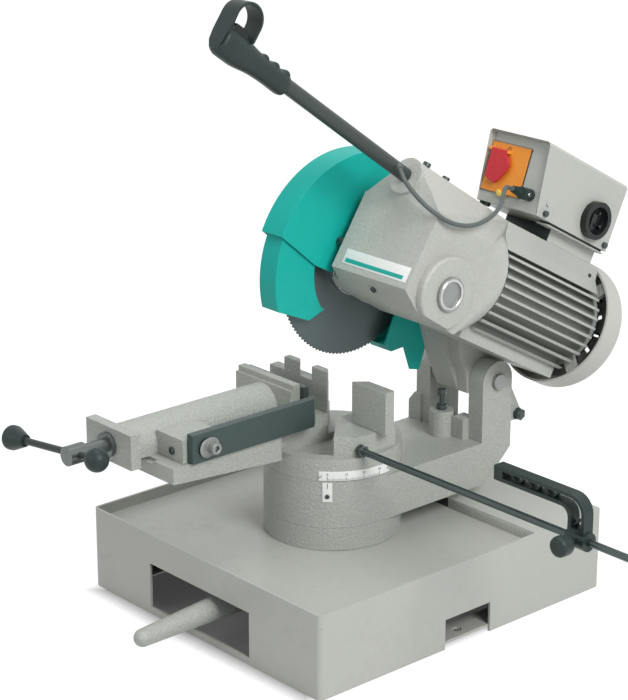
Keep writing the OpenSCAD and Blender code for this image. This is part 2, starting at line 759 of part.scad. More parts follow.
// Motor
module motor_frame() color(paint) {
    spring_x0 = hinge_x - spring_len/2 - gap;
    neck_top = skirt_z + 50;
    shelf = fin_top + 6;
    shelf_half = sqrt(motor_d*motor_d/4 - shelf*shelf);
    difference() {
        union() {
            motor_raised() {
                at_motor() rod_y(motor_y0, motor_y1, tube_d);
                // Fins, cut back towards the bottom
                intersection() {
                    at_motor() rod_y(motor_y0, motor_y1 - 5, motor_d);
                    across(mx - motor_d, mx + motor_d) polygon([[motor_y0 + 2, mz - 40],
                        [motor_y0 + 20, mz - motor_d/2], [motor_y1, mz - motor_d/2],
                        [motor_y1, mz + motor_d/2], [motor_y0 + 2, mz + motor_d/2]]);
                    union() for (i = [0:fin_count - 1])
                        translate([mx, motor_y0 + motor_len/2, mz + fin_top - i*fin_pitch])
                            cube([motor_d, motor_len, fin_t], center = true);
                }
                // Deck under the switch box, with smooth flanks above the fins
                lengthways(motor_y0 + gap, motor_y1 - 6) translate([mx, 0]) polygon([[-shelf_half, mz + shelf],
                    [-pad_half - 3, mz + tube_d/2], [-pad_half, pad_z], [pad_half, pad_z],
                    [pad_half + 3, mz + tube_d/2], [shelf_half, mz + shelf]]);
                span(mx - skirt_half, mx + skirt_half, motor_y0, motor_y1 - 8, skirt_z, mz);
            }
            // Neck down to the hinge pin
            raised() {
                across(neck_x0, neck_x1) polygon([[neck_y, neck_top], [neck_y, skirt_z - 2],
                    [pin_y - 14, pin_z - 27], [pin_y, pin_z - sleeve_r], [pin_y + sleeve_r, pin_z],
                    [pin_y + sleeve_r, neck_top]]);
                across(neck_x1 - 1, ear_in1 - gap) polygon([[neck_y + 10, skirt_z + 14],
                    [pin_y - 50, pin_z + 4], [pin_y - 30, pin_z - 8], [pin_y - 14, pin_z - 27],
                    [pin_y, pin_z - sleeve_r], [pin_y + sleeve_r, pin_z], [pin_y + sleeve_r, skirt_z + 14]]);
                translate([0, pin_y, pin_z]) rod_x(ear_in0 + gap, ear_in1 - gap, 2*sleeve_r);
            }
        }
        motor_raised() at_motor() rod_y(motor_y0 - 1, motor_y1 + 1, 2*bore_r);
        translate([0, pin_y, pin_z]) {
            rod_x(ear_in0 - 1, ear_in1 + 1, pin_d + 2*fit);
            rod_x(spring_x0, spring_x0 + spring_len + 2*gap, 2*spring_r + spring_wire + 2*gap);
        }
    }
}
module stator() color([0.45, 0.4, 0.35]) motor_raised() at_motor() {
    difference() {
        rod_y(motor_y0 + 60, motor_y1 - 28, 2*bore_r);
        rod_y(motor_y0, motor_y1, 2*rotor_r + 2*gap);
    }
}
module rear_shield() color(paint) motor_raised() at_motor() {
    reach = cowl_d/2 - cowl_t - gap;
    difference() {
        union() {
            rod_y(motor_y1, motor_y1 + shield_t, tube_d);
            rod_y(motor_y1 - bearing_w, motor_y1 + 1, bearing_d + 12);
            intersection() {
                rod_y(motor_y1, motor_y1 + shield_t, 2*reach);
                for (a = [45, 135]) rotate([0, a, 0])
                    span(-reach - 1, reach + 1, motor_y1, motor_y1 + shield_t, -7, 7);
            }
        }
        rod_y(motor_y1 - bearing_w - 1, motor_y1, bearing_d);
        rod_y(motor_y1 - 1, motor_y1 + shield_t + 1, motor_shaft_d + 4);
    }
}
module fan_cover() color([0.78, 0.78, 0.75]) motor_raised() at_motor() {
    round = 14;
    difference() {
        rotate([-90, 0, 0]) rotate_extrude() {
            translate([0, cowl_y0]) square([cowl_d/2, cowl_len - round]);
            translate([0, cowl_y1 - round - eps]) square([cowl_d/2 - round, round + eps]);
            translate([cowl_d/2 - round, cowl_y1 - round]) intersection() {
                circle(round);
                translate([0, -eps]) square(round);
            }
        }
        rod_y(cowl_y0 - 1, cowl_y1 - round, cowl_d - 2*cowl_t);
        rod_y(cowl_y0, cowl_y1 - cowl_t, cowl_d - 2*round);
        // Air slots in the rear face
        for (a = [0:30:330]) rotate([0, a, 0]) span(-2.5, 2.5, cowl_y1 - 6, cowl_y1 + 1, 18, 44);
    }
}
module terminal_riser() color(paint) motor_raised() {
    span(mx - pad_half + 4, mx + pad_half - 1, riser_y0, riser_y1, pad_z, box_z0);
}

// Switch box
module switch_box() color(paint) motor_raised() {
    outline = [[box_y0 - hood, box_z1], [box_y1 - back_slant, box_z1], [box_y1, box_z0], [box_y0, box_z0]];
    recess = [[box_y0 - hood - 1, box_z1 - box_t], [panel_y1, box_z1 - box_t], [box_y0, box_z0 + box_t],
        [box_y0 - 2*hood, box_z0 + box_t]];
    inside = [[panel_y1 + box_t, box_z1 - box_t], [box_y1 - back_slant - box_t, box_z1 - box_t],
        [box_y1 - box_t, box_z0 + box_t], [box_y0 + box_t, box_z0 + box_t]];
    difference() {
        across(box_x0, box_x1) polygon(outline);
        across(box_x0 + box_t, box_x1 - box_t) polygon(recess);
        across(box_x0 + box_t, box_x1 - box_t) polygon(inside);
    }
}
module switch_plate() color([0.96, 0.6, 0.16]) motor_raised() at_panel() {
    lug = 3;
    difference() {
        span(plate_x0, plate_x0 + plate_w, -plate_t, 0, plate_z0, plate_z0 + plate_h);
        translate([button_x, 0, button_z]) rod_y(-plate_t - 1, 1, button_d + 2*gap);
    }
    for (x = [flap_x - lug - gap, flap_x + flap_hinge + gap]) translate([0, 0, flap_top])
        span(x, x + lug, -flap_y - flap_t, -plate_t + eps, -2, 2);
}
module stop_flap() color([0.8, 0.16, 0.2]) motor_raised() at_panel() {
    lift = flap_y + flap_t/2;
    neck = 5;
    translate([0, -lift, flap_top]) rod_x(flap_x, flap_x + flap_hinge, flap_t);
    lengthways(-flap_y - flap_t, -flap_y) polygon([[flap_x, flap_top], [flap_x + flap_hinge, flap_top],
        [flap_x + flap_hinge, flap_top - neck], [flap_x + flap_hinge + 3, flap_top - neck],
        [flap_x + flap_w, flap_top - flap_h*0.36], [flap_x + flap_w*0.95, flap_top - flap_h*0.55],
        [flap_x + flap_w*0.7, flap_top - flap_h*0.85], [flap_x + flap_w*0.5, flap_top - flap_h],
        [flap_x, flap_top - flap_h*0.85]]);
}
module start_button() color([0.2, 0.55, 0.3]) motor_raised() at_panel() {
    translate([button_x, 0, button_z]) rod_y(-plate_t - button_h, -button_h + gap, button_d);
}
module mains_inlet() color(dark) motor_raised() translate([0, inlet_y, inlet_z]) {
    depth = 9;
    difference() {
        rod_x(box_x1, box_x1 + depth, inlet_d);
        rod_x(box_x1 + 2, box_x1 + depth + 1, inlet_d - 12);
    }
    for (a = [90, 210, 330]) rotate([a, 0, 0]) translate([0, 9, 0]) rod_x(box_x1 + 1, box_x1 + depth - 2, 4);
}
module cable_plug() color(dark) motor_raised() {
    seat = in_motor(cable_route[len(cable_route) - 1]);
    panel_y = box_y0 - (seat[2] - box_z0 - box_t)*tan(panel_tilt);
    reach = 10;
    barrel = 14;
    knee = [plug_x, panel_y - reach, seat[2]];
    translate(knee) rotate([panel_tilt, 0, 0]) rod_y(-barrel/2 + 1, reach*cos(panel_tilt), barrel);
    hull() {
        translate(knee) sphere(d = barrel, $fn = hull_fn);
        translate(seat) rod_y(0, 1, cable_d + 3, $fn = hull_fn);
    }
}
module control_cable() color([0.35, 0.37, 0.37]) raised() {
    sweep(cable_route, cable_d/2, 8, [0, 0.2, 1]);
}
module cable_grommet() color(dark) raised() {
    start = cable_route[0];
    leave = unit(cable_route[1] - start);
    translate(start - leave*5) rotate([0, acos(leave[2]), atan2(leave[1], leave[0])])
        cylinder(d1 = cable_d + 5, d2 = cable_d + 2, h = 5);
}

// Guards
module upper_guard() color(teal) raised() at_arbor() {
    r_in = guard_r - guard_t;
    join = [guard_r*cos(115), guard_r*sin(115)];
    difference() {
        across(-guard_w/2, guard_w/2) polygon(concat(arc(guard_r, 188, 115, 24),
            [join + [92, -12], [join[0] + 92, 8], [-43, -24], [-66, -26]]));
        across(-guard_in, guard_in) polygon(concat(arc(r_in, 210, 115, 30),
            [join + [94, -12 - 1.2*guard_t], [join[0] + 94, -60]]));
        rod_x(0, guard_w, 2*snout_r + 2*fit);
    }
}
module moving_guard() color(teal) raised() at_arbor() {
    tip = 227;
    outer = concat(arc(mover_r, 186, tip, 16), [90*[cos(246), sin(246)], 66*[cos(251), sin(251)]],
        arc(mover_inner, 247, 180, 16));
    web = concat(arc(mover_inner + 10, 196, 168, 6), arc(mover_hub_r - 2, 168, 196, 6));
    difference() {
        union() {
            difference() {
                across(-mover_half, mover_half) polygon(outer);
                across(-mover_half + guard_t, mover_half - guard_t) circle(mover_r - guard_t);
            }
            across(mover_half - guard_t, mover_half) {
                polygon(web);
                circle(mover_hub_r);
            }
        }
        rod_x(0, guard_w, 2*snout_r + 2*fit);
    }
}
module rear_guard() color(teal) raised() at_arbor() {
    tab = guard_pads[2];
    channel = [[85, -62], [100, -67], [116, -55], [130, -40], [112, -14], [79, -20]];
    hollow = [[60, -60], [100, -65], [114.5, -54], [127, -40], [110, -16], [60, -18]];
    difference() {
        union() {
            across(-guard_w/2, guard_w/2) polygon(channel);
            // Side sheet with the rear lobe, and the tab on its pad
            across(guard_in, guard_w/2) {
                polygon([[112, -14], [114, -56], [116, -55], [141, -74], [155, -69], [149, -43]]);
                polygon([tab + [-10, 10], tab + [-10, -10], [79, -22], [88, -16], tab + [12, 10]]);
            }
        }
        across(-guard_in, guard_in) polygon(hollow);
        rod_x(-guard_in, guard_in, blade_d + 6);
    }
}

// Lever, grip and trigger
module feed_lever() color(dark) raised() at_lever() {
    wall = 2.5;
    difference() {
        rod_y(-lever_len, socket_len - 8, lever_d);
        rod_y(-lever_len - 1, socket_len, lever_d - 2*wall);
    }
}
module grip() color(dark) raised() at_lever() {
    ridge_pitch = 17;
    belly = 12.5;
    waist_y = grip_y0 + 58;
    drop = 3.5;
    difference() {
        union() {
            hull() {
                for (z = [2, -6]) translate([0, grip_y0, z]) rod_y(3, 30, 2*belly, $fn = hull_fn);
                for (z = [0, -drop]) translate([0, waist_y, z]) rod_y(0, 2, 21, $fn = hull_fn);
            }
            hull() for (z = [0, -drop]) {
                translate([0, waist_y, z]) rod_y(0, 2, 21, $fn = hull_fn);
                translate([0, grip_y1 - 5, z]) rod_y(0, 5, 20, $fn = hull_fn);
            }
            for (i = [0:2]) translate([0, grip_y1 - 8 - i*ridge_pitch, 6])
                rod_x(-grip_w*0.3, grip_w*0.3, 13);
        }
        rod_y(-lever_len, grip_y1 + 1, lever_d);
        span(-trigger_half, trigger_half, grip_y0 + 8, grip_y0 + 32, 5, 30);
    }
}
module grip_loop() color(dark) raised() at_lever() {
    strap = 3;
    half = 19;
    foot = 11;
    mid = grip_y0 + half;
    bend = loop_h - half;
    across(-grip_w/2 + 2, grip_w/2 - 2) difference() {
        union() {
            translate([mid, bend]) circle(half);
            translate([mid - half, foot]) square([2*half, bend - foot]);
            translate([mid - half, -14]) square([strap, bend]);
        }
        translate([mid, bend]) circle(half - strap);
        translate([mid - half + strap, 0]) square([2*half - 2*strap, bend]);
    }
}
module trigger() color([0.12, 0.12, 0.12]) raised() at_lever() {
    span(-trigger_half + gap, trigger_half - gap, grip_y0 + 8 + gap, grip_y0 + 32 - gap, 9, 16);
    span(-trigger_half + 2, trigger_half - 2, grip_y0 + 12, grip_y0 + 28, 15, 20);
}
module head_screws() color(dark) {
    raised() {
        // Clamp screws of the lever socket
        for (y = [22, 58]) at_lever() translate([0, y, socket_r + fit]) cylinder(d = 9, h = 5);
        // Screw of the front chamfer
        translate([mx, front_y + chin_y/2, bottom_z + chin_z/2]) rotate([180 - atan2(chin_z, chin_y), 0, 0])
            cylinder(d = 7, h = 2.5);
        // Screws of the guards
        for (p = guard_pads) at_arbor() translate([0, p[0], p[1]]) rod_x(guard_in - 3, guard_in, 9);
    }
    // Foot screws of the switch box
    motor_raised() for (y = [box_y0 + 12, box_y1 - 8]) translate([box_x1, y, box_z0 + 6]) rod_x(0, 4, 7);
}

// Arbor and motor rotor
module ring_bearing(x0, bore) {
    difference() {
        rod_x(x0, x0 + bearing_w, bearing_d);
        rod_x(x0 - 1, x0 + bearing_w + 1, bore + 2*fit);
    }
}
module arbor_bearings() color(steel) raised() at_arbor() {
    ring_bearing(housing_x + 12, shaft_d);
    ring_bearing(housing_x1 - 25, tail_d);
}
module motor_bearings() color(steel) motor_raised() at_motor() {
    for (y = [motor_y0 - bearing_w, motor_y1 - bearing_w]) difference() {
        rod_y(y, y + bearing_w, bearing_d);
        rod_y(y - 1, y + bearing_w + 1, motor_shaft_d + 2*fit);
    }
}
module arbor_shaft() color(steel) raised() at_arbor() {
    difference() {
        union() {
            rod_x(blade_t/2, blade_t/2 + flange_t, flange_d);
            rod_x(-blade_t/2 - flange_t + 2, blade_t/2 + 1, seat_d);
            rod_x(blade_t/2, mx + wheel_w/2, shaft_d);
            rod_x(mx, housing_x1 - 25 + bearing_w + 2, tail_d);
        }
        rod_x(-flange_t - blade_t, 22, 12);
    }
}
module worm_wheel() color([0.72, 0.55, 0.3]) raised() at_arbor() {
    teeth = 30;
    depth = 4;
    difference() {
        across(mx - wheel_w/2 + gap, mx + wheel_w/2 - gap) polygon([for (i = [0:teeth - 1], k = [0:3])
            let (a = (i + [0, 0.2, 0.5, 0.7][k])*360/teeth, r = k < 2 ? wheel_r : wheel_r - depth)
            r*[cos(a), sin(a)]]);
        rod_x(0, housing_x1, shaft_d);
    }
}
module saw_blade() color([0.3, 0.33, 0.34]) raised() at_arbor() {
    tooth = 2.2;
    difference() {
        across(-blade_t/2, blade_t/2) polygon([for (i = [0:blade_teeth - 1], k = [0, 1])
            let (a = (i + 0.75*k)*360/blade_teeth, r = blade_d/2 - tooth*k) r*[cos(a), sin(a)]]);
        rod_x(-blade_t, blade_t, seat_d);
    }
}
module blade_flange() color(steel) raised() at_arbor() {
    difference() {
        rod_x(-blade_t/2 - flange_t, -blade_t/2, flange_d);
        rod_x(-blade_t/2 - flange_t + 2, blade_t, seat_d + 2*fit);
        rod_x(-blade_t/2 - flange_t - 1, blade_t, 12);
    }
}
module blade_bolt() color(dark) raised() at_arbor() {
    rod_x(-blade_t/2 - flange_t, 20, 12);
    translate([-blade_t/2 - flange_t - 4, 0, 0]) rotate([0, 90, 0]) hexagon(19, 4);
}
module motor_shaft() color(steel) motor_raised() at_motor() {
    pitch = 8;
    core_r = worm_r - 4;
    rod_y(worm_y + worm_len/2, cowl_y1 - 12, motor_shaft_d);
    translate([0, worm_y - worm_len/2, 0]) rotate([-90, 0, 0]) rotate_extrude() polygon(concat([[0, 0]],
        [for (i = [0:worm_len/pitch - 1], p = [[0, core_r], [1.5, worm_r], [4.5, worm_r], [6, core_r]])
            [p[1], p[0] + i*pitch]], [[core_r, worm_len + 1], [0, worm_len + 1]]));
}
module rotor_core() color(steel) motor_raised() at_motor() {
    difference() {
        rod_y(motor_y0 + 60, motor_y1 - 28, 2*rotor_r);
        rod_y(motor_y0, motor_y1, motor_shaft_d);
    }
}
module cooling_fan() color(dark) motor_raised() at_motor() {
    fan_r = cowl_d/2 - 22;
    y0 = motor_y1 + shield_t + 2;
    difference() {
        union() {
            rod_y(y0, y0 + 16, motor_shaft_d + 12);
            rod_y(y0, y0 + 2, 2*fan_r);
            for (a = [0:45:315]) rotate([0, a, 0]) span(-1.2, 1.2, y0, y0 + 14, 10, fan_r);
        }
        rod_y(y0 - 1, y0 + 17, motor_shaft_d);
    }
}

// Vise
module vise_carriage() color(paint) {
    jaw_half = 48;
    lip = 10;
    slide_y1 = cast_y - 14;
    difference() {
        union() {
            span(-vise_x - end_w/2, -vise_x + end_w/2, end_y0, end_y1, spindle_z - end_h/2, spindle_z + end_h/2);
            lengthways(end_y1 - 1, slide_y1 + 2) translate([-vise_x, 0]) {
                translate([-slide_half, slide_z0]) square([2*slide_half, spindle_rise - 7]);
                intersection() {
                    translate([0, slide_z0 + spindle_rise - 8]) circle(slide_half);
                    translate([-slide_half, slide_z0]) square([2*slide_half, 60]);
                }
            }
            span(-vise_x - jaw_half, -vise_x + jaw_half, slide_y1, cast_y, slide_z0, table_z + jaw_h - 6);
            span(-vise_x - jaw_half, -vise_x + jaw_half, cast_y - lip, cast_y, slide_z0, table_z + jaw_h);
            span(-vise_x + slide_half - 2, lug_x1, lug_y0, lug_y0 + lug_len, slide_z0, slide_z0 + lug_h);
            span(-vise_x - tongue_half, -vise_x + tongue_half, nut_y0 + nut_len + 60, -turret_r - 4,
                table_z - tongue_h, slide_z0 + 1);
        }
        span(-vise_x - cavity_half, -vise_x + cavity_half, end_y1, nut_y0 + nut_len + 58, slide_z0 - 1,
            spindle_z + nut_d/2 + 1);
        at_spindle() rod_y(end_y0 - 1, end_y1 + 1, spindle_d + 2*fit);
    }
}
module moving_jaw_plate() color([0.12, 0.13, 0.13]) {
    span(-vise_x - 48, -slot_half - 4, cast_y, jaw_y, slide_z0, table_z + jaw_h - 3);
}
module clamp_bar() color([0.27, 0.3, 0.31]) {
    difference() {
        // The nose is mitred to clear the blade at full swivel
        translate([0, 0, bar_z0]) linear_extrude(bar_h) polygon([[lug_x1, bar_y0], [lug_x1 + bar_t, bar_y0],
            [lug_x1 + bar_t, bar_y1 - bar_t], [lug_x1, bar_y1]]);
        translate([0, bar_screw_y, bar_screw_z]) rod_x(lug_x1 - 1, lug_x1 + bar_t + 1, 8 + 2*fit);
    }
}
module clamp_screw() color(steel) {
    x0 = lug_x1 + bar_t;
    translate([0, bar_screw_y, bar_screw_z]) {
        rod_x(x0, x0 + 2.5, 22);
        difference() {
            rod_x(x0 + 2, x0 + 12, 13);
            translate([x0 + 7, 0, 0]) rotate([0, 90, 0]) hexagon(6, 6);
        }
        rod_x(lug_x1, x0 + 3, 8);
    }
}
module vise_spindle() color(steel) {
    difference() {
        at_spindle() {
            rod_y(hub_y - hub_len/2, end_y1 + gap, spindle_d);
            rod_y(hub_y - hub_len/2, hub_y + hub_len/2, hub_d);
            rod_y(end_y0 - gap - 5, end_y0 - gap, collar_d);
            rod_y(end_y1 + gap, end_y1 + 6, nut_d);
            rod_y(end_y1, nut_y0 + nut_len + 50, thread_d);
        }
        at_tommy() rod_x(-hub_d, hub_d, tommy_d + 2*fit);
    }
}
module tommy_bar() color(dark) at_tommy() {
    right = tommy_len - tommy_left;
    rod_x(-tommy_left, right, tommy_d);
    translate([right, 0, 0]) sphere(d = ball_d);
    translate([-tommy_left - knob_d/2, 0, 0]) rotate([0, 90, 0]) rotate_extrude() {
        polygon([[0, 4], [knob_d/2, 4], [knob_d/2, 9], [7, knob_d + 2], [0, knob_d + 2]]);
        intersection() {
            translate([0, 8]) circle(knob_d/2 - 0.5);
            translate([0, -knob_d/2]) square([knob_d/2, knob_d/2 + 5]);
        }
    }
}

// Length stop
module stop_rod() color([0.25, 0.28, 0.28]) at_rod() {
    rod_x(rod_x0 + gap, rod_end, rod_d);
    translate([block_x1 + gap, 0, 0]) rotate([0, 90, 0]) hexagon(13, 7);
}
module stop_arm() color(dark) at_rod() {
    hub_mid = stop_hub_x0 + stop_hub_len/2;
    x1 = stop_hub_x0 + stop_hub_len - 2;
    bend_r = 20;
    leg_x = x1 - stop_depth - 6;
    bend = [x1 - bend_r, stop_rise - bend_r];
    crook = [leg_x - 10, stop_rise - stop_depth - 10];
    outer = concat([[stop_x, stop_rise - stop_depth], [stop_x, stop_rise]],
        [for (p = arc(bend_r, 90, 0, 6)) bend + p], [[x1, 0], [leg_x, 0]], [for (p = arc(10, 0, 90, 4)) crook + p]);
    inner = concat([[stop_x + 12, stop_rise - stop_depth + stop_rib], [stop_x + 12, stop_rise - stop_rib]],
        [for (p = arc(bend_r - stop_rib, 90, 0, 6)) bend + p], [[x1 - stop_rib, 12], [leg_x + stop_rib, 12]],
        [for (p = arc(10 + stop_rib, 0, 90, 4)) crook + p]);
    difference() {
        union() {
            lengthways(-stop_t/2, stop_t/2) difference() {
                polygon(outer);
                polygon(inner);
            }
            // Zigzag ribs
            lengthways(-stop_t/4, stop_t/4) intersection() {
                polygon(outer);
                for (i = [0:6]) translate([stop_x + 12 + 12*i, stop_rise - stop_depth/2])
                    rotate(i % 2 == 0 ? 45 : -45) square([2*stop_depth, 2.5], center = true);
            }
            lengthways(-stop_t/4, stop_t/4) polygon([[x1 - stop_depth - 3, 14], [x1 - stop_depth - 3, 11],
                [x1 - 3, 26], [x1 - 3, 29]]);
            rod_x(stop_hub_x0, stop_hub_x0 + stop_hub_len, stop_hub_d);
        }
        rod_x(stop_hub_x0 - 1, stop_hub_x0 + stop_hub_len + 1, rod_d + 2*fit);
        translate([hub_mid, 0, 0]) rod_y(-stop_hub_d, 0, stop_stud_d + 2*fit);
    }
}
module stop_knob() color(dark) at_rod() translate([stop_hub_x0 + stop_hub_len/2, 0, 0]) {
    y1 = -stop_hub_d/2 - 8;
    lengthways(y1 - 16, y1) {
        circle(d = stop_knob_d);
        for (a = [0:30:330]) rotate(a) translate([stop_knob_d/2 - 0.8, 0]) circle(1.6);
    }
    rod_y(y1 - 1, -rod_d/2 - gap, stop_stud_d);
}

base_tray();
turret_drum();
centre_post();
vise_table();
fixed_jaw_left();
fixed_jaw_right();
jaw_bolts();
scale_plate();
spindle_nut();
lock_lever();
swivel_arm();
pivot_pin();
pointer_plate();
depth_stop_screw();
depth_stop_nut();
rear_stop_bolt();
return_spring();
gear_housing();
bearing_cover();
oil_plug();
motor_frame();
stator();
rear_shield();
fan_cover();
terminal_riser();
switch_box();
switch_plate();
mains_inlet();
cable_plug();
control_cable();
cable_grommet();
upper_guard();
rear_guard();
feed_lever();
grip();
grip_loop();
head_screws();
arbor_bearings();
motor_bearings();
arbor_shaft();
worm_wheel();
saw_blade();
blade_flange();
blade_bolt();
motor_shaft();
rotor_core();
cooling_fan();
moving_guard();
vise_carriage();
moving_jaw_plate();
clamp_bar();
clamp_screw();
vise_spindle();
tommy_bar();
stop_rod();
stop_arm();
stop_knob();
trigger();
stop_flap();
start_button();
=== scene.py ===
import json
import math

import bmesh
import bpy
from mathutils import Matrix, Vector

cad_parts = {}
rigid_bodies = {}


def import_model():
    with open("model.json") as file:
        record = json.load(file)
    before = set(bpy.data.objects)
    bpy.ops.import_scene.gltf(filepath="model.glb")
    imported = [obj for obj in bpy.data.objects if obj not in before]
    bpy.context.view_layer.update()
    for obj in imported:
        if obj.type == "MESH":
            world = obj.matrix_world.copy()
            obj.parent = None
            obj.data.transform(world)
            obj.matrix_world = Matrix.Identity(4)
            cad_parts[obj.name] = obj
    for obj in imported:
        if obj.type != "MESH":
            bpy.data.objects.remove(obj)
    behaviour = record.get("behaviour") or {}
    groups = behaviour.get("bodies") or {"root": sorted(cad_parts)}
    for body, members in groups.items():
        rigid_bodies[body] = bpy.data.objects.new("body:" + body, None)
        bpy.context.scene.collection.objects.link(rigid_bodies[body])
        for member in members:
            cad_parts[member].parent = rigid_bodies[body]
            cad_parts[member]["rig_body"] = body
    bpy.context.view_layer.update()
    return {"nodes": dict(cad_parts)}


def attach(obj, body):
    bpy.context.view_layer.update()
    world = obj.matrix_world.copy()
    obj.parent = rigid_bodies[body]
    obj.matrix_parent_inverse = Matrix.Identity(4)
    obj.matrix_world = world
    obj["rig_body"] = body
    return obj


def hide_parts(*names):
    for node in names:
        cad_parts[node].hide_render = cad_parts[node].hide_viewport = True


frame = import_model()
solids = frame["nodes"]

# Places, in millimetres. Head pieces are given level and tipped up about the hinge pin,
# the motor less than the housing.
MM = Matrix.Scale(0.001, 4)
HINGE_PIN = Vector((0, 187, 236.1))
HEAD_TILT = 33.5
MOTOR_TILT = 29
LEVER_SLOPE = 2.4


def tipped(degrees):
    turn = Matrix.Rotation(-math.radians(degrees), 4, "X")
    return MM @ Matrix.Translation(HINGE_PIN) @ turn @ Matrix.Translation(-HINGE_PIN)


HEAD = tipped(HEAD_TILT)
MOTOR = tipped(MOTOR_TILT)
LEVER = HEAD @ Matrix.Translation((87, -99, 377.1)) @ Matrix.Rotation(-math.radians(LEVER_SLOPE), 4, "X")
ARBOR = HEAD @ Matrix.Translation((0, -32, 279.6))
BOX_X0, BOX_X1 = 45, 138
BOX_Y0, BOX_Y1 = 77.1, 213.1
BOX_Z0, BOX_Z1 = 419.1, 499.1
BOX_SHEET = 2
PANEL_RISE = BOX_Z1 - BOX_Z0 - 2 * BOX_SHEET
PANEL_LEAN = 11
PANEL = (MOTOR @ Matrix.Translation((0, BOX_Y0, BOX_Z0 + BOX_SHEET))
         @ Matrix.Rotation(math.atan(PANEL_LEAN / PANEL_RISE), 4, "X"))
MOTOR_AXIS = MOTOR @ Vector((87, 140, 329.6))
FIN_ROOT_R, FIN_TIP_R = 0.057, 0.0645
SCALE_R = 80.05
ZERO_MARK = -46

# Turns that bring a piece's own Z axis to a direction, and its XY plane onto a face
TO_FRONT = Matrix.Rotation(math.radians(90), 4, "X")
TO_RIGHT = Matrix(((0, 0, 1, 0), (1, 0, 0, 0), (0, 1, 0, 0), (0, 0, 0, 1)))
TO_LEFT = Matrix.Rotation(math.radians(-90), 4, "Y")


# Camera
VIEW_AZIMUTH = math.radians(138.405)
VIEW_DROP = math.radians(18.924)
camera = bpy.data.objects.new("camera", bpy.data.cameras.new("camera"))
camera.data.sensor_width = 36
camera.data.lens = 36 * 2288.82 / 700
camera.location = (1.80796, -1.63292, 1.13194)
look = Vector((math.cos(VIEW_DROP) * math.cos(VIEW_AZIMUTH), math.cos(VIEW_DROP) * math.sin(VIEW_AZIMUTH),
               -math.sin(VIEW_DROP)))
camera.rotation_euler = look.to_track_quat("-Z", "Y").to_euler()
bpy.context.scene.collection.objects.link(camera)
bpy.context.scene.camera = camera


# Materials
def group(name, inputs, outputs):
    """An empty shader node group with named sockets, and its input and output nodes."""
    tree = bpy.data.node_groups.new(name, "ShaderNodeTree")
    for socket, kind, value in inputs:
        made = tree.interface.new_socket(socket, in_out="INPUT", socket_type=kind)
        if value is not None:
            made.default_value = value
    for socket, kind in outputs:
        tree.interface.new_socket(socket, in_out="OUTPUT", socket_type=kind)
    return tree, tree.nodes.new("NodeGroupInput"), tree.nodes.new("NodeGroupOutput")


def noise(tree, vector, scale, detail=2.0, roughness=0.5):
    node = tree.nodes.new("ShaderNodeTexNoise")
    node.inputs["Detail"].default_value = detail
    node.inputs["Roughness"].default_value = roughness
    if isinstance(scale, (int, float)):
        node.inputs["Scale"].default_value = scale
    else:
        tree.links.new(scale, node.inputs["Scale"])
    tree.links.new(vector, node.inputs["Vector"])
    return node.outputs["Fac"]


def remap(tree, value, low, high, to_low, to_high):
    node = tree.nodes.new("ShaderNodeMapRange")
    for socket, number in zip(("From Min", "From Max", "To Min", "To Max"), (low, high, to_low, to_high)):
        if isinstance(number, (int, float)):
            node.inputs[socket].default_value = number
        else:
            tree.links.new(number, node.inputs[socket])
    tree.links.new(value, node.inputs["Value"])
    return node.outputs["Result"]


def math_node(tree, operation, a, b):
    node = tree.nodes.new("ShaderNodeMath")
    node.operation = operation
    for socket, value in zip(node.inputs, (a, b)):
        if isinstance(value, (int, float)):
            socket.default_value = value
        else:
            tree.links.new(value, socket)
    return node.outputs[0]


def make_hammer_group():
    """Blobs and pits of hammered paint: a height for the bump and a tone for colour."""
    inputs = [("Vector", "NodeSocketVector", None), ("Blob Scale", "NodeSocketFloat", 420.0)]
    outputs = [("Height", "NodeSocketFloat"), ("Tone", "NodeSocketFloat")]
    tree, given, out = group("hammered paint", inputs, outputs)
    blobs = tree.nodes.new("ShaderNodeTexVoronoi")
    blobs.feature = "SMOOTH_F1"
    blobs.inputs["Smoothness"].default_value = 0.6
    tree.links.new(given.outputs["Vector"], blobs.inputs["Vector"])
    tree.links.new(given.outputs["Blob Scale"], blobs.inputs["Scale"])
    grain = noise(tree, given.outputs["Vector"], given.outputs["Blob Scale"], 3.0, 0.6)
    height = math_node(tree, "SUBTRACT", grain, blobs.outputs["Distance"])
    tree.links.new(height, out.inputs["Height"])
    tree.links.new(remap(tree, height, -0.5, 0.5, 0.0, 1.0), out.inputs["Tone"])
    return tree


def make_wear_group():
    """Slow change of tone and a few rubbed patches."""
    inputs = [("Vector", "NodeSocketVector", None), ("Patch Scale", "NodeSocketFloat", 14.0)]
    outputs = [("Tone", "NodeSocketFloat"), ("Rub", "NodeSocketFloat")]
    tree, given, out = group("handling wear", inputs, outputs)
    slow = noise(tree, given.outputs["Vector"], given.outputs["Patch Scale"], 3.0, 0.55)
    fine_scale = math_node(tree, "MULTIPLY", given.outputs["Patch Scale"], 6.0)
    fine = noise(tree, given.outputs["Vector"], fine_scale, 4.0, 0.65)
    tree.links.new(slow, out.inputs["Tone"])
    both = math_node(tree, "MULTIPLY", slow, fine)
    tree.links.new(remap(tree, both, 0.28, 0.4, 0.0, 1.0), out.inputs["Rub"])
    return tree


